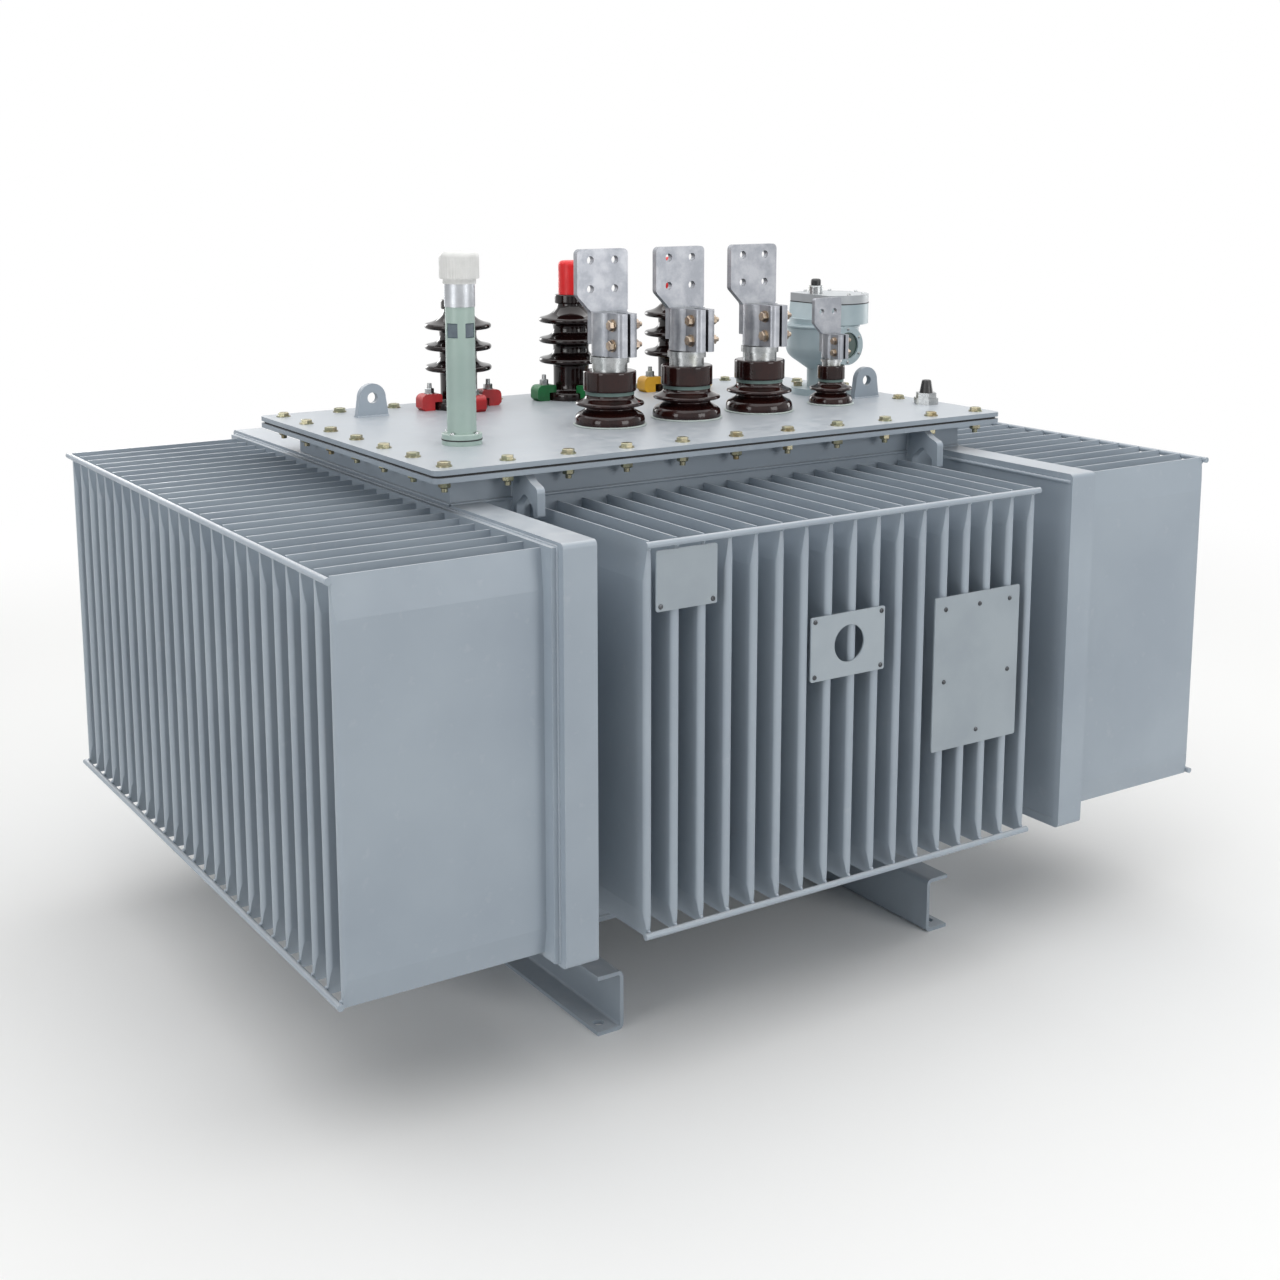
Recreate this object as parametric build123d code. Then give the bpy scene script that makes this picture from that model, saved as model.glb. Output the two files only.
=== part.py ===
"""Oil-filled power transformer with corrugated cooling fins, in millimetres.

The origin lies at the plan centre on the ground, +X runs along the length,
the low-voltage side faces -Y and +Z points up.
"""

import os
from math import acos, sin, tan

from build123d import *

# Feet: folded channels, open outwards
CHANNEL_HEIGHT = 100.0
CHANNEL_FLANGE = 48.0
CHANNEL_SHEET = 6.5
CHANNEL_BEND = 10.0
CHANNEL_BACK_X = 324.0
CHANNEL_HALF_LENGTH = 468.0
ANCHOR_EDGE = 18.0
ANCHOR_END = 28.0
ANCHOR_RADIUS = 9.0

# Tank body
WALL = 6.0
FLOOR_THICKNESS = 8.0
TANK_HALF_Y = 295.0
SKIRT_HEIGHT = 111.5
NECK_HEIGHT = 45.4

# Fins, hollow sheet pinched flat at both ends
FIN_THICKNESS = 15.0
FIN_SHEET = 1.5
FIN_EDGE = 3.0
FIN_TIP_ROUND = 7.0
FIN_TOP_TAPER = 60.0
FIN_BOTTOM_TAPER = 40.0
FIN_SEAM = 12.0
FIN_SEAM_GAP = 1.6
FRONT_FINS = 17
FRONT_PITCH = 48.0
FRONT_FIN_DEPTH = 335.3
FRONT_MARGIN = 88.8
FRONT_FIN_RISE = 12.7
FRONT_FIN_DROP = 13.0
END_FINS = 25
END_PITCH = 49.0
END_FIN_DEPTH = 317.5
END_FIN_RISE = 14.4
END_FIN_DROP = 11.3
ROD_RADIUS = 5.0
ROD_GAP = 0.2
ROD_OVERHANG = 9.0

# Header box and framed fin panel at each end
BOX_DEPTH = 55.4
BOX_HEIGHT = 628.5
BOX_SHEET = 4.0
BOX_CORNER = 8.0
BOX_LEDGE = 15.6
BOX_RIM = 14.0
BOX_RECESS = 1.5
PANEL_FRAME = 10.3
PANEL_SHEET = 3.0
PANEL_BORDER = 16.0
PANEL_MARGIN = 22.5
PANEL_RISE = 7.0

# Cover joint
FLANGE_REACH_X = 53.4
FLANGE_REACH_Y = 56.8
FLANGE_THICKNESS = 8.0
GASKET_THICKNESS = 4.0
GASKET_INSET = 4.0
COVER_THICKNESS = 8.0
COVER_CORNER = 12.0

# Lifting hooks on the tank and lugs on the cover
HOOK_X = 412.0
HOOK_THICKNESS = 14.0
HOOK_REACH = 79.0
HOOK_TIP_WIDTH = 13.0
HOOK_TIP_DROP = 65.4
HOOK_SHOULDER_DROP = 20.0
HOOK_FOOT_DROP = 93.4
HOOK_FOOT_WIDTH = 14.0
HOOK_ARCH_DROP = 31.0
HOOK_ARCH_RISE = 21.0
HOOK_HEAD_WIDTH = 38.0
HOOK_BROW = 21.0
HOOK_BROW_RISE = 7.0
HOOK_ROUND = 10.0
HOOK_EDGE_ROUND = 4.0
LUG_BASE = 62.0
LUG_TOP = 52.0
LUG_HEIGHT = 60.0
LUG_THICKNESS = 12.0
LUG_EYE_RADIUS = 10.0
LUG_LEFT = (-413.0, 235.0)
LUG_RIGHT = (505.0, -56.0)

# Bare plates on the front fin tips: x from, x to, drop of the lower and upper edge from the fin tops
PLATE_THICKNESS = 3.0
PLATE_GAP = 0.2
PLATE_CORNER = 3.0
SMALL_PLATE = (-373.0, -265.5, 106.0, 16.0)
GAUGE_PLATE = (-86.5, 61.5, 259.0, 156.5)
LARGE_PLATE = (169.0, 357.0, 420.0, 161.0)
GAUGE_HOLE_X = -10.3
GAUGE_HOLE_DROP = 206.7
GAUGE_HOLE_RADIUS = 30.0

# Oil filler
FILLER_PLACE = (-424.0, -138.0)
FILLER_FLANGE_RADIUS = 33.0
FILLER_BOSS_HEIGHT = 8.4
FILLER_JOINT = 0.8
FILLER_JOINT_DEPTH = 2.0
FILLER_FLANGE_HEIGHT = 9.4
FILLER_TUBE_RADIUS = 24.0
FILLER_TUBE_HEIGHT = 206.0
FILLER_WINDOW_WIDTH = 20.0
FILLER_WINDOW_HEIGHT = 24.0
FILLER_WINDOW_DROP = 26.0
FILLER_WINDOW_DEPTH = 4.0
FILLER_WINDOW_ANGLES = (-62, 18, 118, 198)
FILLER_SLEEVE_RADIUS = 25.0
FILLER_SLEEVE_HEIGHT = 37.0
FILLER_CAP_RADIUS = 32.0
FILLER_CAP_LIP_RADIUS = 27.0
FILLER_CAP_LIP = 8.0
FILLER_CAP_HEIGHT = 51.0
FILLER_CAP_CROWN = 8.0

# Low-voltage bushings, and the same values for the smaller neutral one
LV_XS = (-106.0, 58.0, 222.0)
LV_EDGE = 263.8
LV_SHED_RADIUS, NEUTRAL_SHED_RADIUS = 62.5, 42.0
LV_WAIST_RADIUS, NEUTRAL_WAIST_RADIUS = 44.0, 30.0
LV_WAIST_HEIGHT, NEUTRAL_WAIST_HEIGHT = 28.0, 21.0
LV_SHED_RIM, NEUTRAL_SHED_RIM = 10.0, 7.0
LV_SHED_RISE, NEUTRAL_SHED_RISE = 6.0, 4.5
LV_LIP, NEUTRAL_LIP = 6.0, 4.5
LV_ROUND, NEUTRAL_ROUND = 7.0, 5.0
LV_BODY_HEIGHT, NEUTRAL_BODY_HEIGHT = 54.0, 43.0
LV_NECK_RADIUS, NEUTRAL_NECK_RADIUS = 43.0, 24.0
LV_SEAL_HEIGHT, NEUTRAL_SEAL_HEIGHT = 6.0, 4.5
LV_COLLAR_RADIUS, NEUTRAL_COLLAR_RADIUS = 46.5, 26.0
LV_COLLAR_HEIGHT, NEUTRAL_COLLAR_HEIGHT = 36.0, 26.5
LV_NUT_RADIUS, NEUTRAL_NUT_RADIUS = 31.0, 17.5
LV_NUT_HEIGHT, NEUTRAL_NUT_HEIGHT = 14.0, 6.5
LV_WASHER_RADIUS, NEUTRAL_WASHER_RADIUS = 34.5, 20.0
LV_WASHER_HEIGHT, NEUTRAL_WASHER_HEIGHT = 11.0, 5.5
LV_STUD_RADIUS, NEUTRAL_STUD_RADIUS = 21.0, 12.0
LV_CLAMP_RADIUS, NEUTRAL_CLAMP_RADIUS = 32.0, 19.0
LV_CLAMP_HEIGHT, NEUTRAL_CLAMP_HEIGHT = 75.0, 46.0
LV_EAR_HALF, NEUTRAL_EAR_HALF = 20.0, 13.0
LV_EAR_REACH, NEUTRAL_EAR_REACH = 62.0, 38.0
LV_SLOT, NEUTRAL_SLOT = 6.0, 5.0
LV_PALM_WIDTH, NEUTRAL_PALM_WIDTH = 104.0, 65.0
LV_PALM_OFFSET, NEUTRAL_PALM_OFFSET = -5.0, -3.5
LV_PALM_HEIGHT, NEUTRAL_PALM_HEIGHT = 108.0, 67.0
LV_PALM_THICKNESS, NEUTRAL_PALM_THICKNESS = 12.0, 8.0
LV_PALM_BACK, NEUTRAL_PALM_BACK = 26.0, 16.0
LV_PALM_CORNER, NEUTRAL_PALM_CORNER = 9.0, 6.0
LV_HOLE_PITCH, NEUTRAL_HOLE_PITCH = 50.0, 31.0
LV_HOLE_RADIUS, NEUTRAL_HOLE_RADIUS = 7.0, 6.0
LV_HOLE_DROP, NEUTRAL_HOLE_DROP = 19.0, 26.0
NEUTRAL_X = 393.0
CLAMP_RISE = 2.0
CLAMP_FIT = 0.2
GLAZE_ROUND = 4.0

# High-voltage bushings
HV_XS = (-226.0, 20.0, 266.0)
HV_EDGE = 99.8
HV_FOOT_RADIUS = 54.0
HV_FOOT_HEIGHT = 15.5
HV_FOOT_LEDGE = 13.0
HV_CORE_RADIUS = 34.5
HV_SHEDS = 3
HV_SHED_RADIUS = 62.0
HV_FIRST_SHED = 72.0
HV_SHED_PITCH = 39.0
HV_SHED_RIM = 8.5
HV_SHED_UNDER = 7.0
HV_SHED_OVER = 11.0
HV_SHED_ROUND = 3.8
HV_BODY_HEIGHT = 185.0
HV_NECK_RADIUS = 26.0
HV_COLLAR_RADIUS = 31.0
HV_COLLAR_HEIGHT = 18.0
HV_CAP_RADIUS = 24.0
HV_CAP_HEIGHT = 64.5
HV_CAP_ROUND = 9.0
CLAW_BITE = 12.0
CLAW_GAP = 3.0
CLAW_LEG = 26.0
CLAW_ARM = 15.0
CLAW_WIDTH = 28.0
CLAW_SHOULDER = 11.0
CLAW_NOSE = 5.0
CLAW_HEEL = 6.0
CLAW_ANGLES = (0, 180, 270)

# Gas relay
RELAY_PLACE = (478.0, 45.0)
RELAY_FOOT_RADIUS = 60.0
RELAY_FOOT_HEIGHT = 13.0
RELAY_NECK_RADIUS = 29.0
RELAY_NECK_TOP = 50.0
RELAY_BOWL_RADIUS = 72.0
RELAY_BOWL_ROUND = 30.0
RELAY_BOWL_RISE = 30.0
RELAY_HEAD_BASE = 140.0
RELAY_HEAD_RADIUS = 78.0
RELAY_HEAD_SHIFT = 16.0
RELAY_LEDGE_HEIGHT = 11.0
RELAY_LEDGE_WIDTH = 10.0
RELAY_SLOPE_WIDTH = 18.0
RELAY_LID_BASE = 181.0
RELAY_LID_HEIGHT = 17.0
RELAY_BOSS_RADIUS = 38.0
RELAY_BOSS_REACH = 80.0
RELAY_BOSS_HEIGHT = 101.0
RELAY_GLASS_RADIUS = 26.0
RELAY_GLASS_SET = 4.0
RELAY_GLASS_THICKNESS = 6.0
RELAY_GLASS_FIT = 0.2
COCK_X = -18.0
COCK_RADIUS = 14.0
COCK_HEIGHT = 17.0
COCK_TIP_RADIUS = 10.0
COCK_TIP_HEIGHT = 13.0

# Thermometer pocket
POCKET_PLACE = (542.0, -192.0)
POCKET_HEX = 24.0
POCKET_HEX_HEIGHT = 12.0
POCKET_NUT = 20.0
POCKET_NUT_HEIGHT = 10.0
POCKET_CAP_RADIUS = 13.0
POCKET_CAP_TOP = 8.5
POCKET_CAP_HEIGHT = 24.0

# Places that follow from the sizes above
FLOOR_TOP = CHANNEL_HEIGHT + FLOOR_THICKNESS
BOX_BOTTOM = FLOOR_TOP + SKIRT_HEIGHT
BOX_TOP = BOX_BOTTOM + BOX_HEIGHT
FLANGE_BOTTOM = BOX_TOP + NECK_HEIGHT
FLANGE_TOP = FLANGE_BOTTOM + FLANGE_THICKNESS
GASKET_TOP = FLANGE_TOP + GASKET_THICKNESS
COVER_TOP = GASKET_TOP + COVER_THICKNESS
BOX_INNER_X = (FRONT_FINS - 1) / 2 * FRONT_PITCH + FRONT_MARGIN
BOX_OUTER_X = BOX_INNER_X + BOX_DEPTH
PANEL_FACE_X = BOX_OUTER_X + PANEL_FRAME
PANEL_HALF_Y = (END_FINS - 1) / 2 * END_PITCH + FIN_THICKNESS / 2 + PANEL_MARGIN
PANEL_BOTTOM = BOX_BOTTOM + PANEL_RISE
PANEL_TOP = BOX_TOP - PANEL_RISE
BOX_HALF_Y = PANEL_HALF_Y + BOX_LEDGE
FRONT_TIP_Y = TANK_HALF_Y + FRONT_FIN_DEPTH
FRONT_FIN_BOTTOM = BOX_BOTTOM + FRONT_FIN_RISE
FRONT_FIN_TOP = BOX_TOP - FRONT_FIN_DROP
END_FIN_BOTTOM = BOX_BOTTOM + END_FIN_RISE
END_FIN_TOP = BOX_TOP - END_FIN_DROP
COVER_HALF_X = BOX_OUTER_X + FLANGE_REACH_X
COVER_HALF_Y = TANK_HALF_Y + FLANGE_REACH_Y
LV_Y = LV_EDGE - COVER_HALF_Y
HV_Y = COVER_HALF_Y - HV_EDGE


def outline(points):
    """Closed face through (u, v, corner radius) points, corners rounded by tangent arcs."""
    count = len(points)
    corners = []
    for index, (u, v, radius) in enumerate(points):
        here = Vector(u, v)
        if radius <= 0:
            corners.append((here, here, here))
            continue
        to_last = (Vector(*points[index - 1][:2]) - here).normalized()
        to_next = (Vector(*points[(index + 1) % count][:2]) - here).normalized()
        half_angle = acos(to_last.dot(to_next)) / 2
        reach = radius / tan(half_angle)
        bisector = (to_last + to_next).normalized()
        middle = here + bisector * (radius / sin(half_angle) - radius)
        corners.append((here + to_last * reach, middle, here + to_next * reach))
    edges = []
    for index, (start, middle, end) in enumerate(corners):
        if (end - start).length > 1e-6:
            edges.append(ThreePointArc(start, middle, end))
        following = corners[(index + 1) % count][0]
        if (following - end).length > 1e-6:
            edges.append(Line(end, following))
    return make_face(edges)


def block(x, y, z):
    """Box between the (from, to) pairs given for each axis."""
    size = [max(pair) - min(pair) for pair in (x, y, z)]
    centre = [sum(pair) / 2 for pair in (x, y, z)]
    return Pos(*centre) * Box(*size)


def upright(radius, z_from, z_to):
    """Vertical cylinder on the local Z axis."""
    return Pos(0, 0, (z_from + z_to) / 2) * Cylinder(radius, z_to - z_from)


def along_y(radius, length):
    """Cylinder along Y, centred on the local origin."""
    return Rot(90, 0, 0) * Cylinder(radius, length)


def lathe(points):
    """Turned solid about the local Z axis from (radius, height, corner radius) points."""
    return revolve(Plane.XZ * outline(points), axis=Axis.Z)


def slab(half_x, half_y, corner, z_from, z_to):
    """Horizontal plate with rounded corners, centred on the origin."""
    return Pos(0, 0, z_from) * extrude(RectangleRounded(2 * half_x, 2 * half_y, corner), z_to - z_from)


def on_cover(x, y):
    """Location of a fitting that stands on the cover."""
    return Pos(x, y, COVER_TOP)


def facing(side):
    """Turn about Z that takes a piece built for the front to the named side."""
    return Rot(0, 0, {"front": 0, "right": 90, "back": 180, "left": -90}[side])


def base_channel():
    """Channel on the +X side with an anchor hole near each end of its lower flange."""
    back, lip = CHANNEL_BACK_X, CHANNEL_BACK_X + CHANNEL_FLANGE
    web = back + CHANNEL_SHEET
    inner_bend = CHANNEL_BEND - CHANNEL_SHEET
    profile = [
        (back, 0, CHANNEL_BEND), (lip, 0, 0), (lip, CHANNEL_SHEET, 0),
        (web, CHANNEL_SHEET, inner_bend), (web, CHANNEL_HEIGHT - CHANNEL_SHEET, inner_bend),
        (lip, CHANNEL_HEIGHT - CHANNEL_SHEET, 0), (lip, CHANNEL_HEIGHT, 0),
        (back, CHANNEL_HEIGHT, CHANNEL_BEND),
    ]
    channel = extrude(Plane.XZ * outline(profile), CHANNEL_HALF_LENGTH, both=True)
    hole = upright(ANCHOR_RADIUS, -CHANNEL_SHEET, 2 * CHANNEL_SHEET)
    hole_y = CHANNEL_HALF_LENGTH - ANCHOR_END
    return channel - [Pos(lip - ANCHOR_EDGE, y, 0) * hole for y in (-hole_y, hole_y)]


def wall_ring(half_x, half_y, z_from, z_to):
    """Four plain walls, open above and below."""
    outside = block((-half_x, half_x), (-half_y, half_y), (z_from, z_to))
    return outside - block((WALL - half_x, half_x - WALL), (WALL - half_y, half_y - WALL), (z_from, z_to))


def fin_solid(depth, bottom, top, half, thin, seam, tip_round):
    """Upright fin shape pinched at both ends, grown from the plane y = 0 towards -Y."""
    low, high = bottom + seam, top - seam
    side = [
        (-thin, low, 0), (thin, low, 0), (half, bottom + FIN_BOTTOM_TAPER, 0),
        (half, top - FIN_TOP_TAPER, 0), (thin, high, 0), (-thin, high, 0),
        (-half, top - FIN_TOP_TAPER, 0), (-half, bottom + FIN_BOTTOM_TAPER, 0),
    ]
    plan = [(-half, 0, 0), (half, 0, 0), (half, -depth, tip_round), (-half, -depth, tip_round)]
    pinched = extrude(Plane.XZ * outline(side), depth)
    return pinched & (Pos(0, 0, low) * extrude(outline(plan), high - low))


def fin(depth, bottom, top):
    """Hollow fin, open towards the tank."""
    outside = fin_solid(depth, bottom, top, FIN_THICKNESS / 2, FIN_EDGE / 2, 0, FIN_TIP_ROUND)
    inside = fin_solid(depth - FIN_SHEET, bottom, top, FIN_THICKNESS / 2 - FIN_SHEET, FIN_SEAM_GAP / 2,
                       FIN_SEAM, FIN_TIP_ROUND - FIN_SHEET)
    return outside - inside


def along_bank(count, pitch):
    """Places of the fins of a bank, side by side along X."""
    return [Pos((index - (count - 1) / 2) * pitch, 0, 0) for index in range(count)]


def fin_bank(count, pitch, depth, bottom, top, face):
    """Fins standing on the plane y = -face, and the two round rods across their tips."""
    places = along_bank(count, pitch)
    row = [Pos(0, -face, 0) * place * fin(depth, bottom, top) for place in places]
    half_length = (count - 1) / 2 * pitch + ROD_OVERHANG
    rod = Rot(0, 90, 0) * Cylinder(ROD_RADIUS, 2 * half_length)
    rod_y = -face - depth - ROD_GAP - ROD_RADIUS
    return row + [Pos(0, rod_y, z) * rod for z in (bottom + ROD_RADIUS, top - ROD_RADIUS)]


def slotted(panel, count, pitch, bottom, top, sheet):
    """Panel with its outer face on y = 0, cut through behind every fin of a bank."""
    half = FIN_THICKNESS / 2 - FIN_SHEET
    slot = block((-half, half), (0, sheet), (bottom + FIN_BOTTOM_TAPER, top - FIN_TOP_TAPER))
    return panel - [place * slot for place in along_bank(count, pitch)]


def side_wall():
    """Front tank wall between the header boxes."""
    panel = block((-BOX_INNER_X, BOX_INNER_X), (0, WALL), (BOX_BOTTOM, BOX_TOP))
    panel = slotted(panel, FRONT_FINS, FRONT_PITCH, FRONT_FIN_BOTTOM, FRONT_FIN_TOP, WALL)
    return Pos(0, -TANK_HALF_Y, 0) * panel


def end_panel():
    """Framed panel that closes a header box and carries its fins, built for the front."""
    panel = block((-PANEL_HALF_Y, PANEL_HALF_Y), (0, PANEL_FRAME), (PANEL_BOTTOM, PANEL_TOP))
    clear = PANEL_HALF_Y - PANEL_BORDER
    panel -= block((-clear, clear), (PANEL_SHEET, PANEL_FRAME),
                   (PANEL_BOTTOM + PANEL_BORDER, PANEL_TOP - PANEL_BORDER))
    panel = slotted(panel, END_FINS, END_PITCH, END_FIN_BOTTOM, END_FIN_TOP, PANEL_SHEET)
    return Pos(0, -PANEL_FACE_X, 0) * panel


def header_box():
    """Flat box of the +X end, open to the tank inside and to the fins outside."""
    shape = [(y, z, BOX_CORNER) for y, z in (
        (-BOX_HALF_Y, BOX_BOTTOM), (BOX_HALF_Y, BOX_BOTTOM), (BOX_HALF_Y, BOX_TOP), (-BOX_HALF_Y, BOX_TOP))]
    box = Pos(BOX_INNER_X, 0, 0) * extrude(Plane.YZ * outline(shape), BOX_DEPTH)
    inside_y = BOX_HALF_Y - BOX_SHEET
    inside_z = (BOX_BOTTOM + BOX_SHEET, BOX_TOP - BOX_SHEET)
    box -= block((BOX_INNER_X + BOX_SHEET, BOX_OUTER_X - BOX_SHEET), (-inside_y, inside_y), inside_z)
    clear = PANEL_HALF_Y - PANEL_BORDER
    box -= block((BOX_OUTER_X - BOX_SHEET, BOX_OUTER_X), (-clear, clear),
                 (PANEL_BOTTOM + PANEL_BORDER, PANEL_TOP - PANEL_BORDER))
    port = TANK_HALF_Y - WALL
    box -= block((BOX_INNER_X, BOX_INNER_X + BOX_SHEET), (-port, port), inside_z)
    for sign in (-1, 1):
        span = (sign * (TANK_HALF_Y + BOX_RIM), sign * (BOX_HALF_Y - BOX_RIM))
        box -= block((BOX_INNER_X, BOX_INNER_X + BOX_RECESS), span, (BOX_BOTTOM + BOX_RIM, BOX_TOP - BOX_RIM))
    return box


def lifting_hook():
    """Hook plate under the flange with a sling notch open downwards, built for the front."""
    root, top = -TANK_HALF_Y, FLANGE_BOTTOM
    tip = root - HOOK_REACH
    notch = tip + HOOK_TIP_WIDTH
    foot = root - HOOK_FOOT_WIDTH
    arch = top - HOOK_ARCH_DROP
    spring = arch - HOOK_ARCH_RISE
    shoulder = top - HOOK_SHOULDER_DROP
    profile = [
        (root, top, 0), (root, top - HOOK_FOOT_DROP, 0), (foot, top - HOOK_FOOT_DROP, HOOK_EDGE_ROUND),
        (foot, spring, HOOK_ROUND), ((notch + foot) / 2, arch, HOOK_ROUND), (notch, spring, HOOK_ROUND),
        (notch, top - HOOK_TIP_DROP, HOOK_EDGE_ROUND), (tip, top - HOOK_TIP_DROP, HOOK_EDGE_ROUND),
        (tip, shoulder, HOOK_ROUND), (tip + HOOK_BROW, shoulder + HOOK_BROW_RISE, HOOK_ROUND),
        (root - HOOK_HEAD_WIDTH, top, HOOK_EDGE_ROUND),
    ]
    return extrude(Plane.YZ * outline(profile), HOOK_THICKNESS / 2, both=True)


def lifting_lug():
    """Rounded plate with an eye, standing on the cover."""
    base, top = LUG_BASE / 2, LUG_TOP / 2
    shoulder = LUG_HEIGHT - top
    sides = Polyline((-top, shoulder), (-base, 0), (base, 0), (top, shoulder))
    crown = ThreePointArc((top, shoulder), (0, LUG_HEIGHT), (-top, shoulder))
    plate = extrude(Plane.XZ * make_face([*sides.edges(), crown]), LUG_THICKNESS / 2, both=True)
    return plate - Pos(0, 0, shoulder) * along_y(LUG_EYE_RADIUS, 2 * LUG_THICKNESS)


def tip_plate(x_from, x_to, drop_low, drop_high):
    """Thin bare plate carried on the front fin tips."""
    z_from, z_to = FRONT_FIN_TOP - drop_low, FRONT_FIN_TOP - drop_high
    corners = ((x_from, z_from), (x_to, z_from), (x_to, z_to), (x_from, z_to))
    shape = outline([(x, z, PLATE_CORNER) for x, z in corners])
    return Pos(0, -FRONT_TIP_Y - PLATE_GAP, 0) * extrude(Plane.XZ * shape, PLATE_THICKNESS)


def gauge_plate():
    """Plate with the round seat of a dial."""
    place = Pos(GAUGE_HOLE_X, -FRONT_TIP_Y, FRONT_FIN_TOP - GAUGE_HOLE_DROP)
    return tip_plate(*GAUGE_PLATE) - place * along_y(GAUGE_HOLE_RADIUS, 4 * PLATE_THICKNESS)


def filler():
    """Oil filler from the cover up: base with its joint groove, windowed tube, sleeve and cap."""
    radius, groove = FILLER_FLANGE_RADIUS, FILLER_FLANGE_RADIUS - FILLER_JOINT_DEPTH
    joint = FILLER_BOSS_HEIGHT + FILLER_JOINT
    base_top = joint + FILLER_FLANGE_HEIGHT
    base = lathe([
        (0, 0, 0), (radius, 0, 0), (radius, FILLER_BOSS_HEIGHT, 0), (groove, FILLER_BOSS_HEIGHT, 0),
        (groove, joint, 0), (radius, joint, 0), (radius, base_top, FILLER_JOINT_DEPTH), (0, base_top, 0),
    ])
    tube_top = base_top + FILLER_TUBE_HEIGHT
    tube = upright(FILLER_TUBE_RADIUS, base_top, tube_top)
    window_top = tube_top - FILLER_WINDOW_DROP
    window = block((-FILLER_WINDOW_WIDTH / 2, FILLER_WINDOW_WIDTH / 2),
                   (-FILLER_TUBE_RADIUS, FILLER_WINDOW_DEPTH - FILLER_TUBE_RADIUS),
                   (window_top - FILLER_WINDOW_HEIGHT, window_top))
    tube -= [Rot(0, 0, angle) * window for angle in FILLER_WINDOW_ANGLES]
    sleeve_top = tube_top + FILLER_SLEEVE_HEIGHT
    sleeve = upright(FILLER_SLEEVE_RADIUS, tube_top, sleeve_top)
    lip_top, cap_top = sleeve_top + FILLER_CAP_LIP, sleeve_top + FILLER_CAP_HEIGHT
    cap = lathe([
        (0, sleeve_top, 0), (FILLER_CAP_LIP_RADIUS, sleeve_top, 0), (FILLER_CAP_LIP_RADIUS, lip_top, 0),
        (FILLER_CAP_RADIUS, lip_top, 0), (FILLER_CAP_RADIUS, cap_top, FILLER_CAP_CROWN), (0, cap_top, 0),
    ])
    return {"filler_base": base, "filler_tube": tube, "filler_sleeve": sleeve, "filler_cap": cap}


def two_shed_insulator(shed, waist, rim, waist_height, rise, lip, neck, height, rounding):
    """Porcelain with a bulging foot shed, a narrow waist and a thinner shed above."""
    upper = waist_height + rise
    edge = shed - lip / 3
    return lathe([
        (0, 0, 0), (edge, 0, 0), (shed, rim, rounding), (waist, waist_height, GLAZE_ROUND),
        (edge, upper, lip / 2), (edge, upper + lip, lip / 2), (neck, height, 0), (0, height, 0),
    ])


def clamp_stack(height, seal, neck, collar, collar_height, nut, nut_height, washer, washer_height, stud,
                clamp_height):
    """Seal, porcelain collar, and the nut, washer and stud, one on the other above the insulator."""
    collar_base = height + seal
    nut_base = collar_base + collar_height
    nut_top = nut_base + nut_height
    washer_top = nut_top + washer_height
    clamp_base = washer_top + CLAMP_RISE
    ring = upright(neck, height, collar_base)
    sleeve = lathe([(0, collar_base, 0), (collar, collar_base, 0), (collar, nut_base, GLAZE_ROUND),
                    (0, nut_base, 0)])
    bolt = upright(nut, nut_base, nut_top) + upright(washer, nut_top, washer_top)
    bolt += upright(stud, washer_top, clamp_base + clamp_height)
    return ring, sleeve, bolt, clamp_base


def clamp_terminal(base, clamp, clamp_height, stud, ear_half, ear_reach, slot, width, offset, height,
                   thickness, back, corner):
    """Split clamp with two ears towards -Y and a flat palm rising behind its stud."""
    top = base + clamp_height
    ears = [(-ear_half, 0, 0), (ear_half, 0, 0),
            (ear_half, -ear_reach, corner), (-ear_half, -ear_reach, corner)]
    body = upright(clamp, base, top) + Pos(0, 0, base) * extrude(outline(ears), clamp_height)
    left, right = offset - width / 2, offset + width / 2
    side = clamp - corner / 3
    root = base + clamp_height / 4
    palm = [
        (left, top - left - side, corner), (-side, top, corner), (-side, root, 0), (side, root, 0),
        (side, top + side - right, corner), (right, top, corner),
        (right, top + height, corner), (left, top + height, corner),
    ]
    body += Pos(0, back, 0) * extrude(Plane.XZ * outline(palm), thickness)
    body -= upright(stud + CLAMP_FIT, base, top)
    return body - block((-slot / 2, slot / 2), (-ear_reach, 0), (base, top))


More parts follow.
